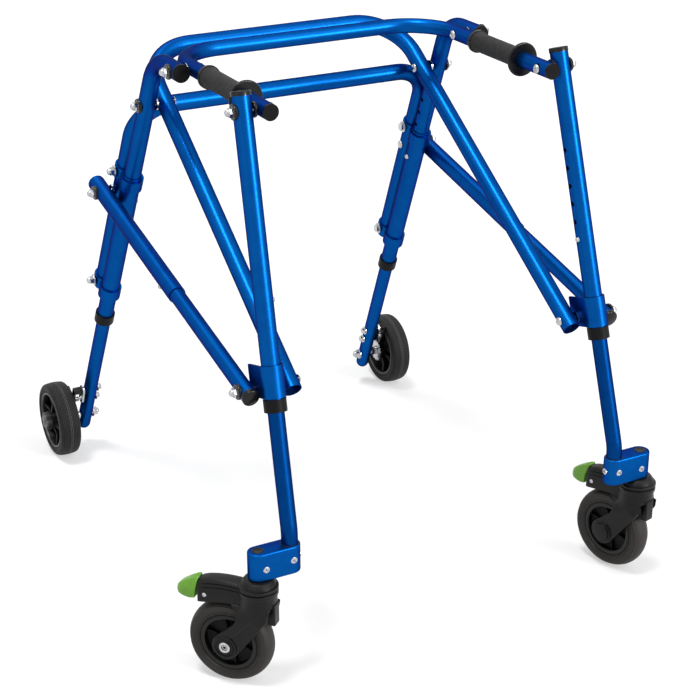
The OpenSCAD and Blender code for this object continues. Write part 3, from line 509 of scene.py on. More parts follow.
@dataclass(frozen=True)
class Finish:
    """One finish: two colours that mottle, a roughness range and a fine pattern in the bump."""

    name: str
    slot: str
    colour: Point
    accent: Point
    roughness: tuple[float, float]
    metallic: float = 0.0
    gloss: float = 0.3
    tint: Point = (1.0, 1.0, 1.0)
    mottle: float = 40.0
    scale: float = 2600.0
    bump: float = 0.12
    depth: float = 0.0004
    texture: Texture = Texture.GRAIN
    centre: Point = (0.0, 0.0, 0.0)
    # Colour of the studs' painted highlight (glints), strongest on the crown's middle rows.
    polished: Point = (0.10, 0.10, 0.102)

    def make(self, groups: dict[str, Tree]) -> bpy.types.Material:
        """Builds the material from the shared groups.

        Args:
            groups: The shader groups by name.

        Returns:
            The finished material.
        """
        mat = bpy.data.materials.new(self.name)
        mat.use_nodes = True
        w = Wiring(mat.node_tree)
        where = w.node("ShaderNodeTexCoord", {}).outputs["Object"]
        mottle = w.node("ShaderNodeGroup", {
            "Vector": where, "Colour": (*self.colour, 1), "Accent": (*self.accent, 1), "Scale": self.mottle,
            "Smooth": self.roughness[0], "Rough": self.roughness[1]}, node_tree=groups["mottle"])
        pattern = w.node("ShaderNodeGroup", {}, node_tree=groups[self.texture.value])
        colour = mottle.outputs["Colour"]
        if self.texture is Texture.DOTS:
            # Painted highlight: the studs' colour is mixed towards the glint colour by the mask.
            colour = w.mix(pattern.outputs["Mask"], colour, (*self.polished, 1))
            shift = {"Vector": where, "Location": tuple(-c for c in self.centre)}
            w.feeds(pattern, {"Vector": w.node("ShaderNodeMapping", shift).outputs[0]})
        else:
            w.feeds(pattern, {"Vector": where, "Scale": self.scale})
        bump = w.node("ShaderNodeBump", {"Strength": self.bump, "Distance": self.depth,
                                         "Height": pattern.outputs["Height"]})
        w.feeds(mat.node_tree.nodes["Principled BSDF"], {
            "Metallic": self.metallic, "Specular IOR Level": self.gloss, "Specular Tint": (*self.tint, 1),
            "Base Color": colour, "Roughness": mottle.outputs["Roughness"], "Normal": bump.outputs[0]})
        return mat


def linked(name: str, data: bpy.types.ID) -> bpy.types.Object:
    """A new object in the scene.

    Args:
        name: The object's name.
        data: Its mesh, light or camera.

    Returns:
        The object.
    """
    obj = bpy.data.objects.new(name, data)
    bpy.context.scene.collection.objects.link(obj)
    return obj


@dataclass
class Workshop:
    """Holds the materials and turns surfaces into pieces of the walker."""

    finishes: dict[str, Finish]
    materials: dict[str, bpy.types.Material] = field(default_factory=dict)

    def __post_init__(self) -> None:
        """Builds every finish once."""
        groups = {"mottle": mottle_group(), "grain": grain_group(), "cells": cells_group(),
                  "dots": dots_group()}
        self.materials = {key: finish.make(groups) for key, finish in self.finishes.items()}

    def piece(self, name: str, surface: Surface, finish: str, body: str, nodes: tuple[str, ...] = (),
              sharp: float = 35.0) -> bpy.types.Object:
        """Makes a mesh piece that rides on a body.

        Args:
            name: The piece's name.
            surface: Its shape in millimetres, in the row frame.
            finish: Key of its finish.
            body: The CAD body that carries it.
            nodes: CAD nodes that it stands for.
            sharp: Angle in degrees above which an edge stays sharp.

        Returns:
            The new object.
        """
        mesh = bpy.data.meshes.new(name)
        mesh.from_pydata((surface.points * MM).tolist(), [], surface.faces)
        work = bmesh.new()
        work.from_mesh(mesh)
        bmesh.ops.remove_doubles(work, verts=work.verts, dist=WELD_DIST)
        bmesh.ops.recalc_face_normals(work, faces=work.faces)
        work.to_mesh(mesh)
        work.free()
        mesh.polygons.foreach_set("use_smooth", np.ones(len(mesh.polygons), dtype=bool))
        mesh.set_sharp_from_angle(angle=math.radians(sharp))
        mesh.materials.append(self.materials[finish])
        obj = linked(name, mesh)
        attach(obj, body)
        if nodes:
            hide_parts(*nodes)
        log.info("%s: %d faces on %s", name, len(mesh.polygons), body)
        return obj

    def dress(self, node: str, finish: str) -> None:
        """Gives a CAD node a finish.

        Args:
            node: The node's name.
            finish: Key of the finish.
        """
        obj = frame["nodes"][node]
        if not obj.material_slots:
            obj.data.materials.append(self.materials[finish])
        for slot in obj.material_slots:
            slot.material = self.materials[finish]


def joint(name: str) -> tuple[Array, Array]:
    """A joint's point in millimetres and its axis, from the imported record."""
    j = next(j for j in frame["joints"] if j["name"] == name)
    return np.array(j.get("pos_m", (0, 0, 0)), float) / MM, np.array(j["axis"], float)


def box(node: str) -> tuple[Array, Array]:
    """The low and high corners of a CAD node's box, in millimetres."""
    low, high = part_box(node)
    return np.array(low) / MM, np.array(high) / MM


# Sub-assemblies


@dataclass
class Caster:
    """A braked swivel caster in its own frame: +X trails behind the stem, Z is up from the floor."""

    side: Side
    barrel_r: float = 24.5
    fork_in: float = 18.5
    fork_out: float = 25.5
    boss_r: float = 19.0
    top: float = 159.5
    stem_r: float = 7.9
    stem_top: float = 200.2
    rim_r: float = 41.4
    ribs: int = 6
    rib_turn: float = 17.0
    tyre_w: float = 31.0
    crown_r: float = 9.0
    power: float = 3.4
    screw_r: float = 3.0
    screw_y: float = 15.4
    cap_r: float = 13.2
    washer_r: float = 7.8

    def __post_init__(self) -> None:
        """Reads the caster's frame from its joints."""
        stem, _ = joint(f"swivel_{self.side.word}")
        hub, axle = joint(f"caster_roll_{self.side.word}")
        pin, _ = joint(f"pedal_press_{self.side.word}")
        self.trail = float(np.hypot(*(hub - stem)[:2]))
        self.wheel_r = float(hub[2])
        ahead = np.array([hub[0] - stem[0], hub[1] - stem[1], 0.0]) / self.trail
        self.origin = np.array([stem[0], stem[1], 0.0])
        self.axes = np.array([ahead, axle, [0.0, 0.0, 1.0]])
        self.pin_x = float((pin - self.origin) @ ahead)
        self.pin_z = float(pin[2])

    def upright(self, surface: Surface) -> Surface:
        """Carries a shape from the caster's frame into the row frame."""
        return surface.placed(self.origin, self.axes)

    def sideways(self, surface: Surface, x: float, z: float, y: float = 0.0, out: float = 1.0) -> Surface:
        """Turns a shape's Z to the axle's direction and puts it at x, y, z of the caster's frame.

        Args:
            surface: The shape.
            x: Place along the trail.
            z: Height above the floor.
            y: Place along the axle.
            out: 1 where its Z points along +Y, -1 where along -Y.

        Returns:
            The shape in the row frame.
        """
        return self.upright(surface.placed([x, y, z], along_y(out)))

    def on_axle(self, surface: Surface, y: float = 0.0, out: float = 1.0) -> Surface:
        """Sets a shape on the axle, as sideways does."""
        return self.sideways(surface, self.trail, self.wheel_r, y, out)

    def barrel(self) -> Surface:
        """The swivel head: a stepped, ribbed barrel under a cone, turned about the stem.

        Returns:
            The barrel in the caster's frame.
        """
        r, t = self.barrel_r, self.top
        skirt = [(0, 121), (r - 2, 121), (r - 0.3, 123), (r, 137), (r + 1.4, 138), (r + 1.8, 139)]
        groove = [(r + 1.8, 143.6), (r + 1.2, 144.4), (r - 0.6, 144.6), (r - 0.6, 146.2)]
        rib = [(r + 1.4, 146.4), (r + 2, 147), (r + 2, 149.6), (r + 1.2, 150.6), (r - 1.5, 151.2)]
        cone = [(r - 2.2, 153.2), (r - 1.4, 153.6), (r - 5, t - 0.6), (r - 6, t), (0, t)]
        return lathe(skirt + groove + rib + cone)

    def stem(self) -> Surface:
        """The stem through the block, with a dished plug on top.

        Returns:
            The stem in the caster's frame.
        """
        r, z, foot = self.stem_r, self.stem_top, self.top - 1
        plug = [(7.3, z + 0.5), (5.6, z + 0.6), (5.0, z + 0.25), (0, z + 0.25)]
        return lathe([(0, foot), (r, foot), (r, z)] + plug, 48)

    def yoke(self) -> Surface:
        """The fork's shoulders: superellipses |x/a|^n + |y/b|^n = 1 below the barrel, n growing downwards.

        Returns:
            The yoke in the caster's frame.
        """
        z = np.array([139.0, 134, 129, 125, 122.4, 121.6])[:, None]
        n = np.array([2.0, 2.3, 2.9, 3.8, 4.6, 4.6])[:, None]
        a = np.array([23.6, 23.4, 23.0, 22.6, 22.4, 21.4])[:, None]
        b = np.array([23.6, 23.0, 22.0, 21.0, 20.4, 19.4])[:, None]
        t = circle(96)[None]
        x, y = 0.6 + a * swell(np.cos(t), n), b * swell(np.sin(t), n)
        return loft(np.stack([x, y, np.broadcast_to(z, x.shape)], -1))

    def touch(self, point: tuple[float, float], turn: float) -> Array:
        """Where the tangent from a point meets the axle's boss.

        Args:
            point: The point in side view.
            turn: 1 or -1, for the two tangents.

        Returns:
            The point of contact.
        """
        dx, dz = point[0] - self.trail, point[1] - self.wheel_r
        a = math.atan2(dz, dx) + turn * math.acos(self.boss_r / math.hypot(dx, dz))
        return np.array([self.trail + self.boss_r * math.cos(a), self.wheel_r + self.boss_r * math.sin(a)])

    def arm_edges(self) -> tuple[Array, Array, Array]:
        """The arm's side view.

        Returns:
            Heights from the top down, and where the front and rear edges lie at each of them.
        """
        c, zc, r = self.trail, self.wheel_r, self.boss_r
        z = np.concatenate([np.linspace(137, zc, 90), zc - r * np.sin(np.linspace(0.05, 1.53, 20))])
        front, back = (-22.0, 111.0), (24.6, 98.0)
        low_f, low_b = self.touch(front, 1), self.touch(back, -1)
        edge_f = np.vstack([[(-22.0, 139)], corner((-22, 139), front, low_f, 9.0), [low_f]])
        edge_b = np.vstack([[(23, 139)], corner((23, 139), (23.5, 127), (34, 123), 2.0),
                            corner((23.5, 127), (33, 123.4), (23.4, 112), 3.0),
                            corner((33, 123.4), (22.8, 111), back, 6.0),
                            corner((22.8, 111), back, low_b, 6.0), [low_b]])
        bow = np.sqrt(np.maximum(r * r - (z - zc) ** 2, 0))
        x_f = np.where(z > low_f[1], np.interp(z, edge_f[::-1, 1], edge_f[::-1, 0]), c - bow)
        x_b = np.where(z > low_b[1], np.interp(z, edge_b[::-1, 1], edge_b[::-1, 0]), c + bow)
        return z, x_f, x_b

    def arm(self) -> Surface:
        """One arm: level sections from the barrel down to the axle's boss.

        The outer face is a plane below and the barrel's circle above, blended by a smooth step of the height.
        It drops by a quarter circle at both edges and by a small step in front of a slanting groove.

        Returns:
            The arm on the +Y side in the caster's frame.
        """
        z, x_f, x_b = (v[:, None] for v in self.arm_edges())
        s = (1 - np.cos(np.pi * np.linspace(0, 1, 72)[None])) / 2
        x = x_f + (x_b - x_f) * s
        up = ramp(z, 102, 28)
        up = up * up * (3 - 2 * up)
        y = (1 - up) * self.fork_out + up * np.sqrt(np.maximum(self.barrel_r ** 2 - x ** 2, 60))
        y = y * (1 - 0.05 * ramp(z, 129, 6)) - 0.4 * np.maximum(x - 24, 0) * ramp(z, 104, 8)
        edge = np.minimum(2.4, (x_b - x_f) / 2)
        near = np.clip(1 - np.minimum(x - x_f, x_b - x) / edge, 0, 1)
        y = y - edge * (1 - np.sqrt(1 - near ** 2))
        ahead = (31 - x) * 0.726 + (73 - z) * 0.687
        step, groove = 0.9 * ramp(ahead, 0, 1.2), 0.8 * np.exp(-(ahead / 1.1) ** 2)
        y = y - ramp(z, 128, -10) * (step + groove)
        inner = np.broadcast_to(self.fork_in - 8 * ramp(z, 121, 6), x.shape)
        height = np.broadcast_to(z, x.shape)
        outside = np.stack([x, np.maximum(y, inner + 0.4), height], -1)
        inside = np.stack([x, inner, height], -1)[:, ::-1]
        return loft(np.concatenate([outside, inside], 1))

    def boss_ring(self, inner: float, outer: float, rise: float) -> Surface:
        """A raised ring round the axle on an arm's outer face.

        Args:
            inner: Inner radius.
            outer: Outer radius.
            rise: Height above the arm's face.

        Returns:
            The ring about Z.
        """
        foot, top = self.fork_out - 2, self.fork_out + rise
        return hoop([(inner, foot), (inner, top - 0.4), (inner + 0.4, top), (outer - 0.4, top),
                     (outer, top - 0.4), (outer, foot)], 64)

    def arms(self) -> list[Surface]:
        """Both arms, each with two raised rings round the axle.

        Returns:
            The arms and rings in the row frame.
        """
        parts, rings = [], [self.boss_ring(13.4, 16.4, 0.9), self.boss_ring(9.4, 12.2, 0.5)]
        for out in (1.0, -1.0):
            parts.append(self.upright(self.arm().placed([0, 0, 0], np.diag([1, out, 1]))))
            parts += [self.on_axle(r, 0, out) for r in rings]
        return parts

    def housing(self) -> Surface:
        """The brake housing: crowned sections along the trail, with two creases below each shoulder.

        A section is |y/w|^n + |z/h|^n = 1 above its floor; the creases are dips exp(-((s - s0)/d)^2) of
        its size.

        Returns:
            The housing in the caster's frame.
        """
        x = np.array([8.0, 18, 28, 38, 48, 58, 66, 73, 78, 81, 82])[:, None]
        low = np.interp(x, [8, 39.5, 82], [122.2, 122.2, 114.6])
        top = np.interp(x, [8, 30, 45, 60, 72, 80, 82], [150.5, 151.5, 152, 151, 148.8, 146.2, 144.8])
        half = np.interp(x, [8, 30, 55, 70, 80, 82], [17.0, 16.6, 16.0, 15.6, 14.8, 13.8])
        s = np.linspace(0, 1, 121)[None]
        t = np.pi * s
        y, rise = half * swell(np.cos(t), self.power), swell(np.sin(t), self.power)
        dip = sum(np.exp(-((s - c) / 0.008) ** 2) for c in (0.17, 0.25, 0.75, 0.83))
        fade = np.interp(x, [8, 24, 70, 76, 82], [0, 1, 1, 0.3, 0.0])
        y = y * (1 - 0.07 * dip * fade)
        z = low + (top - low) * rise * (1 - 0.05 * dip * fade)
        outer = np.stack([np.broadcast_to(x, y.shape), y, z], -1)
        middle = np.array([0.0, 0.0, (float(low[-1, 0]) + float(top[-1, 0])) / 2])
        mouth = middle + (outer[-1] - middle) * [1, 0.84, 0.84]
        pocket = mouth - [15.0, 0, 0]
        return loft(np.concatenate([outer, mouth[None], pocket[None]]))

    def tab(self) -> Surface:
        """The small stop that hangs below the barrel's front."""
        return prism(rounded([(-25.6, -8), (-15, -8), (-15, 8), (-25.6, 8)], 2.0), 95.5, 126.0, 1.0)

    def screw(self, rise: float = 0.9) -> Surface:
        """A socket screw's head: rounded edge and a sunk socket.

        Args:
            rise: The head's height.

        Returns:
            The head about Z.
        """
        r = self.screw_r
        return lathe([(0, -1.0), (r, -1.0), (r, rise - 0.5), (r - 0.5, rise), (r * 0.55, rise),
                      (r * 0.5, rise - 0.7), (0, rise - 0.9)], 40)

    def rim(self) -> Surface:
        """The dished rim: a turned ring with a thin web, a long hub and thin radial ribs on both faces.

        Returns:
            The rim in the row frame.
        """
        r, h = self.rim_r, self.fork_in - 0.4
        half = [(5.1, h), (11.5, h), (12.5, h - 1), (13, 4.5), (16, 2.4), (31, 2.0), (34.5, 3.5), (36.0, 9.5),
                (37.4, 12.0), (39.4, 12.4), (r, 12.0)]
        ring = hoop(half + [(a, -b) for a, b in reversed(half)])
        rib = rounded([(12.0, 2.0), (36.5, 2.0), (36.5, 9.0), (24.0, 6.0), (12.0, 10.5)], 1.0)
        blades = fan(prism(rib, -0.9, 0.9, 0.3), self.ribs, math.radians(self.rib_turn))
        return self.on_axle(Surface.joined([ring] + blades))

    def faces(self) -> Surface:
        """The rim's glossy face rings, one on each side between dish and tyre, with rounded edges."""
        return self.on_axle(both_hoops([(34.0, 8.0), (34.2, 11.6), (34.9, 12.6), (36.2, 13.0), (39.0, 13.0),
                                        (40.0, 12.5), (40.4, 11.4), (38.0, 9.0)]))

    def tyre(self) -> Surface:
        """The tyre: a crowned band with a lip ring on each sidewall, turned about the axle.

        Returns:
            The tyre in the row frame.
        """
        w, c = self.tyre_w / 2, self.crown_r
        side = [(self.rim_r + 0.1, 12.3), (42.6, 13.2), (43.4, 14.2), (44.6, 14.4), (45.2, 13.8),
                (46.2, 14.2), (49, w), (52, w), (54.6, w - 1.2)]
        crown = arc((self.wheel_r - c, 0), c, 0, 62, 12) * [1, (w - 2.4) / 7.95]
        return self.on_axle(hoop(mirrored(np.vstack([side, crown[::-1]])), 128))

    def pedal(self) -> Surface:
        """The pedal: sections with bevelled shoulders that shrink to the toe, and a neck into the housing.

        Three cosine ridges cross the top near the root. The sections there lean, so that the root's lower
        edge clears the housing when the pedal is pressed.

        Returns:
            The pedal in the row frame.
        """
        first, last, pitch = 13.2, 20.4, 2.4
        x = np.concatenate([[12.2], np.linspace(first, last, 25), [25, 32, 38, 41.5, 43.8, 45]])[:, None]
        ridge = 0.4 * (1 - np.cos(2 * np.pi * (x - first) / pitch)) * ((x > first) & (x < last))
        top = ridge + np.interp(x, [12.2, 13.2, 25, 38, 43.8, 45], [18.4, 19.2, 14.4, 6.6, 1.0, -2.2])
        low = np.interp(x, [12.2, 13.2, 25, 41.5, 45], [-9.0, -10.4, -12.2, -10.6, -7.4])
        half = np.interp(x, [12.2, 13.2, 22, 32, 39, 43, 45], [11.6, 13.2, 13.0, 11.8, 9.4, 6.2, 3.4])
        across = np.array([-1, -1, -0.93, -0.64, -0.5, 0.5, 0.64, 0.93, 1, 1, 0.86, -0.86])[None]
        rise = np.array([0.1, 0.5, 0.62, 0.95, 1, 1, 0.95, 0.62, 0.5, 0.1, 0, 0])[None]
        along = x + 3.4 * (1 - rise) * ramp(x, 25, -12)
        toe = loft(np.stack([along, half * across, low + (top - low) * rise], -1)[:, ::-1])
        neck = prism(rounded([(-1.5, -5.5), (14, -5.5), (14, 5.5), (-1.5, 5.5)], 2.0), -8, 8, 0.8)
        neck = neck.placed([0, 0, 0], along_y(-1))
        return self.upright(Surface.joined([toe, neck]).placed([self.pin_x, 0, self.pin_z], np.eye(3)))

    def screws(self, plain: float) -> Surface:
        """The pedal's screws and, on the arm without a cap, the axle's washer and socket.

        Args:
            plain: 1 where the arm at +Y has the cap, -1 where the arm at -Y has it.

        Returns:
            The screws in the row frame.
        """
        r, y = self.washer_r, self.screw_y
        heads = [self.sideways(self.screw(), self.pin_x, self.pin_z, out * y, out) for out in (1.0, -1.0)]
        washer = [(4.2, -1), (r, -1), (r, 0.9), (r - 0.6, 1.5), (5.2, 1.7), (4.2, 1.1)]
        socket = [(2.2, -1), (3.3, -1), (3.3, 0.2), (2.2, 0.2)]
        seat = -plain * (self.fork_out + 0.1)
        rings = [self.on_axle(s, seat, -plain) for s in (hoop(washer, 64), hoop(socket, 24))]
        return Surface.joined(heads + rings)

    def build(self, shop: Workshop) -> None:
        """Makes the caster's pieces and sets them on their bodies.

        Args:
            shop: The workshop that makes the pieces.
        """
        word, r = self.side.word, self.cap_r
        shapes = (self.barrel(), self.stem(), self.yoke(), self.housing(), self.tab())
        solid = [self.upright(s) for s in shapes]
        plain = 1.0 if self.side is Side.RIGHT else -1.0
        cap = lathe([(0, 24), (r, 24), (r, 27.6), (r - 0.8, 28.6), (9, 29.2), (0, 29.4)], 64)
        shell = Surface.joined(solid + self.arms() + [self.on_axle(cap, 0, plain)])
        wheel = f"caster_wheel_{word}"
        shop.piece(f"fork_shell_{word}", shell, "black", f"caster_{word}", (f"caster_fork_{word}",))
        shop.piece(f"caster_screws_{word}", self.screws(plain), "steel", f"caster_{word}")
        shop.piece(f"caster_dish_{word}", self.rim(), "deep_black", wheel, (f"caster_rim_{word}",))
        shop.piece(f"caster_face_{word}", self.faces(), "gloss_black", wheel)
        shop.piece(f"caster_tread_{word}", self.tyre(), "grey_rubber", wheel, (f"caster_tyre_{word}",))
        shop.piece(f"pedal_toe_{word}", self.pedal(), "green", f"pedal_{word}", (f"brake_pedal_{word}",),
                   sharp=30.0)


@dataclass
class Block:
    """The oblong block between a front leg and its caster's stem."""

    side: Side
    half_w: float = 14.0
    edge: float = 2.2
    screw_r: float = 4.6
    seal_in: float = 11.15
    seal_out: float = 12.2

    def build(self, shop: Workshop) -> None:
        """Makes the block, its screws and the dark ring where the leg enters it.

        Args:
            shop: The workshop that makes the pieces.
        """
        word, s, r, q = self.side.word, self.side.value, self.half_w, self.screw_r
        low, high = box(f"caster_block_{word}")
        stem, _ = joint(f"swivel_{word}")
        leg_x = (low[0] if s > 0 else high[0]) + s * r
        a, b = sorted((leg_x, stem[0]))
        outline = np.vstack([arc((b, 0), r, -90, 90, 28), arc((a, 0), r, 90, 270, 28)])
        body, carrier = prism(outline, low[2], high[2], self.edge), f"front_lower_{word}"
        shop.piece(f"block_shell_{word}", body, "blue", carrier, (f"caster_block_{word}",))
        mid = (low[2] + high[2]) / 2
        head = lathe([(0, -1), (q, -1), (q, 0.5), (q - 0.7, 1.1), (2.5, 1.1), (2.3, 0.1), (0, -0.1)], 32)
        seats = [(leg_x + s * 0.5, mid + 0.5), (stem[0] - s * 5.5, mid - 3)]
        bolts = [head.placed([x, y * r, z], along_y(y)) for x, z in seats for y in (-1, 1)]
        bolts.append(head.placed([leg_x - s * r, 0, mid], along_x(-s)))
        shop.piece(f"block_screws_{word}", Surface.joined(bolts), "steel", carrier)
        inner, outer = self.seal_in, self.seal_out
        ring = hoop([(inner, -0.6), (outer, -0.6), (outer, 0.2), (outer - 0.3, 0.5), (inner, 0.5)], 64)
        shop.piece(f"leg_seal_{word}", ring.placed([leg_x, 0, high[2]], np.eye(3)), "black", carrier)


@dataclass
class Grip:
    """A slim foam hand grip between a broad front flange and a small rear ring."""

    side: Side
    bore: float = 11.15
    body_r: float = 13.9
    flange_r: float = 23.9
    flange_t: float = 4.4
    ring_r: float = 16.4
    fill: float = 0.9

    def build(self, shop: Workshop) -> None:
        """Turns foam, flange and rings about the handle tube's line.

        Args:
            shop: The workshop that makes the pieces.
        """
        word = self.side.word
        low, high = box(f"grip_{word}")
        centre = [(low[0] + high[0]) / 2, low[1], (low[2] + high[2]) / 2]
        end, b, r, q = high[1] - low[1], self.bore, self.body_r, self.ring_r
        f, t = self.flange_r, self.flange_t
        foam = [(b, t - 0.4), (r + 4.6, t - 0.4), (r + 2.4, t + 1.2), (r + 0.8, t + 3.6), (r, t + 8),
                (r, end - 12), (r + 0.5, end - 9), (r + 1.2, end - 6.4), (b, end - 6.4)]
        disc = np.vstack([[(b, 0.0)], arc((f - t / 2, t / 2), t / 2, -90, 90, 14), [(b, t)]])
        tail = [(b, end - 6.8), (q - 0.8, end - 6.8), (q, end - 6), (q, end - 2.2), (q - 0.5, end - 1.6),
                (q - 0.9, end - 0.5), (q - 2, end), (b, end)]
        band = [(b, end - 0.2), (q - 2.4, end - 0.2), (q - 2.4, end + 0.7), (q - 2.9, end + 1.1),
                (b, end + 1.1)]
        foam, disc, tail, band = (hoop(p).placed(centre, along_y(1)) for p in (foam, disc, tail, band))
        pad = shop.piece(f"grip_foam_{word}", foam, "foam", "handle", (f"grip_{word}",))
        shop.piece(f"grip_rims_{word}", Surface.joined([disc, tail]), "gloss_black", "handle")
        shop.piece(f"grip_band_{word}", band, "steel", "handle")


# Y and Z of the pivots, in millimetres.
HEAD = (152.75, 734.0)
FOOT = (76.97, 390.11)
STUB = (371.55, 734.0)
TOP = (480.37, 660.0)
BRACE = (583.34, 506.0)


@dataclass
class Fittings:
    """Black caps on the tube ends, sleeves on the spacers and saddle washers behind the cap nuts."""

    side: Side
    head_x: float = 238.3
    stub_x: float = 235.6
    top_x: float = 238.96
    brace_x: float = 275.29
    brace_foot_x: float = 278.67
    tube_r: float = 12.7
    inner_r: float = 11.1
    cap_over: float = 0.7
    head_gap: float = 4.5
    head_len: float = 21.0
    nose_len: float = 15.0
    lean_in: float = 2.0
    lean_back: float = 16.4

    def cap(self, tube_r: float) -> Surface:
        """A shallow cap that grips a tube's end, with a rounded rim."""
        r = tube_r + self.cap_over
        return lathe([(0, -2.2), (r, -2.2), (r, 3.2), (r - 0.3, 3.8), (r - 1.2, 4.3), (0, 4.5)], 64)

    def turned(self, point: Array, along: Array, surface: Surface) -> Surface:
        """Sets a turned shape on a point of the right side, or on its mirror image on the left.

        Args:
            point: The point on the right side.
            along: The direction of the shape's Z there.
            surface: The shape.

        Returns:
            The shape on this side.
        """
        z = unit(along)
        x = unit(np.cross(z, [0.0, 0.6, 0.8]))
        return surface.placed(point, np.array([x, np.cross(z, x), z])).on_side(self.side)

    def build(self, shop: Workshop) -> None:
        """Makes the caps, sleeves and washers of one side.

        Args:
            shop: The workshop that makes the pieces.
        """
        word = self.side.word
        leg = f"front_leg_{word}"
        lean_x, lean_y = np.tan(np.radians([-self.lean_in, self.lean_back]))
        up = unit(np.array([lean_x, lean_y, 1.0]))
        tip = np.array([self.head_x, *HEAD]) + up * self.head_len
        shop.piece(f"leg_cap_{word}", self.turned(tip, up, self.cap(self.tube_r)), "gloss_black", leg)
        rear, nose = np.array([self.brace_x, *BRACE]), np.array([self.brace_foot_x, *FOOT])
        down = unit(nose - rear)
        cap = self.turned(nose + down * self.nose_len, down, self.cap(self.inner_r))
        shop.piece(f"brace_cap_{word}", cap, "gloss_black", f"brace_inner_{word}")
        out = np.array([1.0, 0, 0])
        sleeve = hoop([(9.1, -1.7), (10.2, -1.7), (10.4, -1.2), (10.4, 1.2), (10.2, 1.7), (9.1, 1.7)], 64)
        between = np.array([self.head_x - self.tube_r - self.head_gap / 2, *HEAD])
        shop.piece(f"spacer_sleeve_{word}", self.turned(between, out, sleeve), "gloss_black", leg)
        ring = hoop([(6.7, -2.4), (10.0, -2.4), (10.6, -1.6), (10.5, 1.0), (9.9, 1.8), (7.3, 2.1),
                     (6.7, 1.9)], 64)
        frame_seats = [(x + self.tube_r, *spot) for x, spot in (
            (self.stub_x, STUB), (self.top_x, TOP), (self.brace_x, BRACE))]
        leg_seats = [(self.head_x + self.tube_r, *HEAD), (self.brace_foot_x + self.inner_r, *FOOT)]
        for kind, body, seats in (("rear_frame", "rear_frame", frame_seats), ("front_leg", leg, leg_seats)):
            rings = Surface.joined([self.turned(np.array(p), out, ring) for p in seats])
            shop.piece(f"saddles_{kind}_{word}", rings, "gloss_black", body)


@dataclass(frozen=True)
class Pivot:
    """A pivot of the right side: its Y and Z and, along X, the bolt's seats and the spacer's ends."""

    spot: tuple[float, float]
    head: float
    low: float
    high: float
    nut: float


@dataclass
class PivotBolts:
    """The pivots' bolts: a low round head inboard, a spacer between the tubes, a cap nut outboard."""

    frame_pivots: tuple[Pivot, ...] = (
        Pivot(TOP, 197.46, 223.66, 225.86, 252.06), Pivot(STUB, 198.5, 221.5, 222.5, 248.7),
        Pivot(BRACE, 233.39, 259.59, 262.19, 288.39))
    front_pivots: tuple[Pivot, ...] = (
        Pivot(HEAD, 198.5, 221.5, 225.2, 251.4), Pivot(FOOT, 203.97, 230.17, 233.97, 290.17))
    shank_r: float = 3.2
    washer_r: float = 9.0
    hex_r: float = 6.6
    dome_r: float = 5.2

    def bolt(self, pivot: Pivot) -> Surface:
        """One bolt along Z: turned head, shank, spacer and washer, a hexagon and a half-round dome.

        Args:
            pivot: The bolt's pivot.

        Returns:
            The bolt along Z.
        """
        head, nut, q, w, d = pivot.head, pivot.nut, self.shank_r, self.washer_r, self.dome_r
        a = np.linspace(0, np.pi / 2, 9)
        dome = np.column_stack([d * np.cos(a), nut + 6.6 + d * np.sin(a)])
        turned = [[(0, head - 3.2), (2.4, head - 3.1), (4.6, head - 2.5), (5.9, head - 1.3), (6.3, head),
                   (0, head)],
                  [(0, head - 1), (q, head - 1), (q, nut + 2), (0, nut + 2)],
                  [(0, pivot.low), (w, pivot.low), (w, pivot.high), (0, pivot.high)],
                  [(0, nut), (w, nut), (w, nut + 0.8), (w - 0.5, nut + 1.2), (0, nut + 1.2)],
                  np.vstack([[(0, nut + 6), (d, nut + 6)], dome])]
        corners = arc((0, 0), self.hex_r, 0, 300, 6)
        return Surface.joined([lathe(t, 48) for t in turned] + [prism(corners, nut + 1.0, nut + 7.0, 0.6)])

    def placed(self, pivot: Pivot, side: Side) -> Surface:
        """Turns a bolt's Z along +X at its pivot and mirrors it for the left side."""
        return self.bolt(pivot).placed([0, *pivot.spot], along_x(1)).on_side(side)

    def build(self, shop: Workshop) -> None:
        """Makes the bolts of both sides and sets them on the rear frame and on the front legs.

        Args:
            shop: The workshop that makes the pieces.
        """
        both = Surface.joined([self.placed(p, side) for p in self.frame_pivots for side in Side])
        shop.piece("frame_pivot_bolts", both, "steel", "rear_frame",
                   ("top_bolts", "stub_bolts", "brace_bolts"))
        for side in Side:
            own = Surface.joined([self.placed(p, side) for p in self.front_pivots])
            shop.piece(f"front_pivot_bolts_{side.word}", own, "steel", f"front_leg_{side.word}",
                       (f"front_bolts_{side.word}",))


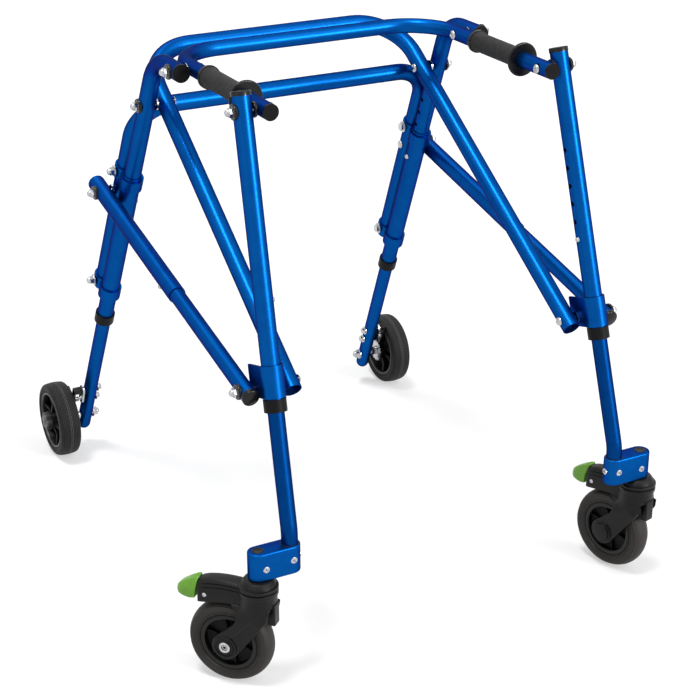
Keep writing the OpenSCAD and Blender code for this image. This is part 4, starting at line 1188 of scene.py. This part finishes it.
@dataclass
class RearWheel:
    """A rear wheel: a dished, spoked rim, a studded tyre and a lobed knob; also its pawl's tab and spring."""

    side: Side
    rim_r: float = 46.4
    width: float = 34.0
    spokes: int = 6
    spoke_turn: float = 0.3
    knob_r: float = 13.4
    lobes: int = 6
    lobe: float = 1.8
    knob_h: float = 10.2
    shoulder_r: float = 6.0
    pawl_lean: float = 25.2
    coils: int = 5
    coil_r: float = 3.7
    wire_r: float = 0.55

    def __post_init__(self) -> None:
        """Reads the wheel's centre, the pawl's pin and the pawl's inner face."""
        self.hub, _ = joint(f"rear_roll_{self.side.word}")
        self.radius = float(self.hub[2])
        self.pin, _ = joint(f"pawl_lift_{self.side.word}")
        low, high = box(f"pawl_{self.side.word}")
        self.pawl_x = low[0] if self.side is Side.RIGHT else high[0]

    def out(self, surface: Surface) -> Surface:
        """Turns a shape's Z outboard, along X, and puts it at the wheel's centre."""
        return surface.placed(self.hub, along_x(self.side.value))

    def rim(self) -> Surface:
        """A turned dish with a thin web, broad spokes standing on it and a long hub.

        Returns:
            The rim in the row frame.
        """
        r, h = self.rim_r, self.width / 2
        outer = [(5.1, h), (11, h), (12.2, h - 1.2), (13.2, 6), (17, 1.2), (36, 0.6), (41.4, 2.6),
                 (43.2, h - 3.2), (43.8, h - 2.0), (45.2, h - 1.6), (r, h - 2.2)]
        inner = [(r, -h + 2.2), (45.2, -h + 1.6), (43.6, -h + 1.8), (42.2, -h + 3.2), (40.5, -3.4), (36, -2),
                 (17, -2.4), (13.2, -6), (12.2, -h + 0.9), (11, -h + 0.1), (5.1, -h + 0.1)]
        spoke = rounded([(11, -1.4), (42, -1.4), (42, h - 4.4), (26, h - 7.5), (11, h - 3.0)], 1.6)
        blades = fan(prism(spoke, -2.5, 2.5, 0.9), self.spokes, self.spoke_turn)
        return self.out(Surface.joined([hoop(outer + inner)] + blades))

    def knob(self) -> Surface:
        """A lobed knob: radius R + a cos(n t), its top edge rounded.

        Returns:
            The knob in the row frame.
        """
        t = circle(120)
        r = self.knob_r + self.lobe * np.cos(self.lobes * t)
        outline = np.column_stack([r * np.cos(t), r * np.sin(t)])
        low = self.width / 2 - 0.5
        cap = lathe([(0, low + 9), (6.2, low + 9), (6.2, low + 10.4), (5.4, low + 11.0), (0, low + 11.2)], 40)
        return self.out(Surface.joined([prism(outline, low, low + self.knob_h, 1.6), cap]))

    def tyre(self) -> Surface:
        """A broad tyre: a crown that falls by c (x / h)^2, round shoulders, a ring and a lip on each side.

        Returns:
            The tyre in the row frame.
        """
        h, r, q = self.width / 2, self.radius, self.shoulder_r
        side = [(self.rim_r + 0.1, h - 2.4), (47.4, h - 1.2), (48.4, h - 0.9), (49.2, h - 1.5),
                (50.4, h - 1.4), (51.4, h - 0.5), (52.8, h - 0.1)]
        x = np.linspace(h - q - 0.5, 0, 7)
        crown = np.column_stack([r - 2.4 * (x / h) ** 2, x])
        half = np.vstack([side, arc((r - q - 1.0, h - q), q, 84, 10, 9), crown])
        return self.out(hoop(mirrored(half), 144))

    def lips(self) -> Surface:
        """The rim's rounded lips, one on each face, just inside the tyre; they take the knob's grey, which on
        them is a painted highlight.

        Returns:
            The lips in the row frame.
        """
        h = self.width / 2
        return self.out(both_hoops([(43.1, h - 3.0), (43.6, h - 1.2), (44.6, h - 0.7), (45.8, h - 0.9),
                                    (46.7, h - 2.0), (45.0, h - 3.2)]))

    def tab(self) -> Surface:
        """The pawl's thumb tab: a bar up along the leg in the pawl's plane and a block back to the leg.

        Returns:
            The tab in the row frame.
        """
        c, s = math.cos(math.radians(self.pawl_lean)), math.sin(math.radians(self.pawl_lean))
        bar = prism(rounded([(-4, 3), (4, 3), (4, 24), (-4, 24)], 1.5), 0.2, 3.9, 0.6)
        block = prism(rounded([(-5, 16), (5, 16), (5, 25), (-5, 25)], 1.5), -9.2, 3.9, 0.8)
        axes = [[0, c, s], [0, -s, c], [self.side.value, 0, 0]]
        return Surface.joined([bar, block]).placed([self.pawl_x, self.pin[1], self.pin[2]], axes)

    def spring(self) -> Surface:
        """The pawl's return spring: a helix round the pawl's bolt, between plate and pawl.

        Returns:
            The spring in the row frame.
        """
        s, r = self.side.value, self.coil_r
        t = np.linspace(0, 2 * np.pi * self.coils, 160)
        x = np.linspace(self.pawl_x - s * 6.6, self.pawl_x - s * 0.8, 160)
        helix = np.column_stack([x, self.pin[1] + r * np.cos(t), self.pin[2] + r * np.sin(t)])
        return sweep(helix, self.wire_r)

    def build(self, shop: Workshop) -> None:
        """Makes the wheel's pieces and sets them on their bodies.

        Args:
            shop: The workshop that makes the pieces.
        """
        word = self.side.word
        body = f"rear_wheel_{word}"
        shop.piece(f"rear_dish_{word}", self.rim(), "deep_black", body, (f"rear_rim_{word}",))
        # The lips share the knob's grey, which on them is a painted highlight.
        shop.piece(f"rear_knob_{word}", Surface.joined([self.knob(), self.lips()]), "grey_knob_and_lip_highlight", body)
        shop.piece(f"rear_tread_{word}", self.tyre(), "studded", body, (f"rear_tyre_{word}",))
        shop.piece(f"pawl_spring_{word}", self.spring(), "steel", f"rear_leg_{word}")
        shop.piece(f"pawl_tab_{word}", self.tab(), "black", f"pawl_{word}")


# Stage


@dataclass(frozen=True)
class Lamp:
    """A broad, even lamp far away: the direction to it, its strength and its apparent width in degrees."""

    name: str
    towards: Point
    strength: float
    spread: float


@dataclass
class Stage:
    """Floor, light and the camera at the photograph's viewing angle."""

    camera_at: Point = (-1.10345, -1.76414, 1.33673)
    azimuth: float = -27.94
    elevation: float = 23.855
    lens: float = 89.33
    sensor: float = 36.0
    far: float = 50.0
    ambient: float = 0.30
    lift: float = 0.46
    floor_half: float = 9.0
    floor_z: float = -0.0005
    floor_grey: float = 0.52
    lamps: tuple[Lamp, ...] = (
        Lamp("key", (0.9, -1.3, 1.5), 1.0, 50.0), Lamp("front", (0.48, -0.84, 0.27), 1.8, 14.0),
        Lamp("overhead", (-0.22, -0.06, 0.95), 1.7, 14.0), Lamp("fill", (-2.2, -0.5, 1.4), 0.3, 50.0),
        Lamp("back", (0.1, 1.4, 2.4), 0.5, 40.0))

    def build(self) -> None:
        """Makes the floor, the world, the lamps and the camera."""
        self.floor()
        self.world()
        for lamp in self.lamps:
            self.light(lamp)
        self.camera()

    def floor(self) -> None:
        """A pale floor that is white to the camera where no shadow falls."""
        mesh = bpy.data.meshes.new("floor")
        h, z, g = self.floor_half, self.floor_z, self.floor_grey
        mesh.from_pydata([(-h, -h, z), (h, -h, z), (h, h, z), (-h, h, z)], [], [(0, 1, 2, 3)])
        mat = bpy.data.materials.new("pale_floor")
        mat.use_nodes = True
        w = Wiring(mat.node_tree)
        w.feeds(mat.node_tree.nodes["Principled BSDF"], {
            "Base Color": (g, g, g, 1), "Roughness": 0.9, "Specular IOR Level": 0.0,
            "Emission Color": (1, 1, 1, 1), "Emission Strength": w.calc("MULTIPLY", self.seen(w), self.lift)})
        mesh.materials.append(mat)
        linked("floor", mesh)

    def world(self) -> None:
        """An even surround, white wherever it is seen or mirrored."""
        world = bpy.data.worlds.new("studio")
        world.use_nodes = True
        w = Wiring(world.node_tree)
        rest = w.calc("MULTIPLY", self.seen(w), 1.0 - self.ambient)
        w.feeds(world.node_tree.nodes["Background"], {
            "Color": (1, 1, 1, 1), "Strength": w.calc("ADD", rest, self.ambient)})
        bpy.context.scene.world = world

    @staticmethod
    def seen(w: Wiring) -> Socket:
        """1 on rays that show the surround itself: camera, glossy and transmission rays.

        Args:
            w: The wiring of the floor's or the world's tree.

        Returns:
            The mask's socket.
        """
        path = w.node("ShaderNodeLightPath", {}).outputs
        some = w.calc("MAXIMUM", path["Is Camera Ray"], path["Is Glossy Ray"])
        return w.calc("MAXIMUM", some, path["Is Transmission Ray"])

    def light(self, lamp: Lamp) -> None:
        """Hangs a lamp; its width softens the shadows.

        Args:
            lamp: The lamp.
        """
        data = bpy.data.lights.new(lamp.name, "SUN")
        data.energy, data.angle = lamp.strength, math.radians(lamp.spread)
        towards = np.array(lamp.towards)
        linked(lamp.name, data).matrix_world = self.looking(towards, towards)

    @staticmethod
    def looking(at: Array, back: Array) -> Matrix:
        """The matrix of an object at a point whose own +Z is back and whose +Y leans up.

        Args:
            at: The object's place.
            back: The direction of its +Z.

        Returns:
            The object's matrix.
        """
        z = unit(back)
        x = unit(np.cross([0, 0, 1.0], z))
        m = np.eye(4)
        m[:3, 0], m[:3, 1], m[:3, 2], m[:3, 3] = x, np.cross(z, x), z, at
        return Matrix(m.tolist())

    def camera(self) -> None:
        """The camera that gives the photograph's view."""
        a, e = math.radians(self.azimuth), math.radians(self.elevation)
        data = bpy.data.cameras.new("camera")
        data.sensor_width, data.lens, data.clip_end = self.sensor, self.lens, self.far
        back = np.array([math.sin(a) * math.cos(e), -math.cos(a) * math.cos(e), math.sin(e)])
        obj = linked("camera", data)
        obj.matrix_world = self.looking(np.array(self.camera_at), back)
        bpy.context.scene.camera = obj


BLUE = Finish("metallic_blue_paint", "blue_paint", (0.0015, 0.066, 0.276), (0.0020, 0.078, 0.308),
              (0.33, 0.36), metallic=0.92, tint=(0.0, 0.04, 0.12), mottle=60.0, scale=1500.0, bump=0.006)
BLACK = Finish("moulded_black_plastic", "black_plastic", (0.004, 0.0038, 0.0036), (0.0065, 0.0062, 0.006),
               (0.34, 0.48), gloss=0.18)
FINISHES: dict[str, Finish] = {
    "blue": BLUE,
    # A darker copy of the blue paint for the lower front legs: painted shade where the legs fall darker, not
    # a second paint.
    "painted_shade_blue": replace(BLUE, name="deep_blue_paint", colour=(0.0008, 0.036, 0.165),
                         accent=(0.0010, 0.042, 0.190), roughness=(0.36, 0.40)),
    "steel": Finish("bright_plated_steel", "bright_steel", (0.56, 0.565, 0.58), (0.38, 0.385, 0.40),
                    (0.12, 0.22), metallic=1.0, mottle=120.0, scale=2500.0, bump=0.05),
    "black": BLACK,
    "deep_black": replace(BLACK, name="dark_rim_plastic", colour=(0.0025, 0.0025, 0.0025),
                          accent=(0.004, 0.004, 0.004), roughness=(0.4, 0.55), gloss=0.12),
    "gloss_black": replace(BLACK, name="glossy_black_plastic", colour=(0.004, 0.004, 0.004),
                           accent=(0.006, 0.006, 0.006), roughness=(0.2, 0.3), gloss=0.25, bump=0.05),
    "foam": Finish("closed_cell_foam", "grip_foam", (0.019, 0.019, 0.019), (0.044, 0.044, 0.045), (0.7, 0.85),
                   gloss=0.15, mottle=130.0, scale=900.0, bump=0.4, texture=Texture.CELLS),
    # The knob's grey; on the rim's lips the same grey is a painted highlight.
    "grey_knob_and_lip_highlight": replace(BLACK, name="grey_hub_plastic", colour=(0.055, 0.053, 0.049),
                        accent=(0.070, 0.067, 0.062), roughness=(0.3, 0.42), gloss=0.3, bump=0.1),
    "grey_rubber": Finish("grey_black_rubber", "caster_tyre", (0.022, 0.019, 0.017), (0.029, 0.026, 0.023),
                          (0.5, 0.66), gloss=0.25, mottle=50.0, scale=1800.0),
    "studded": Finish("studded_black_rubber", "rear_tyre", (0.0035, 0.0035, 0.0035), (0.007, 0.007, 0.007),
                      (0.5, 0.65), gloss=0.16, mottle=60.0, bump=0.5, depth=0.0012, texture=Texture.DOTS,
                      centre=(0.0, 0.762, 0.0615)),
    "green": Finish("satin_green_plastic", "green_plastic", (0.150, 0.360, 0.036), (0.125, 0.320, 0.030),
                    (0.34, 0.46), scale=2200.0, bump=0.1),
}

NODE_FINISH: dict[str, tuple[str, ...]] = {
    "steel": ("_bolts", "button", "axle", "plate", "gear"),
    "black": ("pawl",),
    "deep_black": ("plugs", "collar"),
    # The lower front legs take the darker copy of the blue as painted shade.
    "painted_shade_blue": ("front_lower_leg",),
}


def node_finish(node: str) -> str:
    """The finish of a CAD node that stays in view.

    Args:
        node: The node's name.

    Returns:
        Key of its finish.
    """
    for finish, words in NODE_FINISH.items():
        if any(w in node for w in words):
            return finish
    return "blue"


def main() -> None:
    """Builds the walker's pieces in order, then the stage."""
    logging.basicConfig(level=logging.INFO, format="%(name)s %(message)s")
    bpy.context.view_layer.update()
    shop = Workshop(FINISHES)
    for node in frame["nodes"]:
        shop.dress(node, node_finish(node))
    for side in Side:
        for part in (Caster(side), Block(side), Grip(side), RearWheel(side), Fittings(side)):
            part.build(shop)
    PivotBolts().build(shop)
    Stage().build()
    bpy.context.scene.view_settings.view_transform = "Standard"


if __name__ == "__main__":
    main()
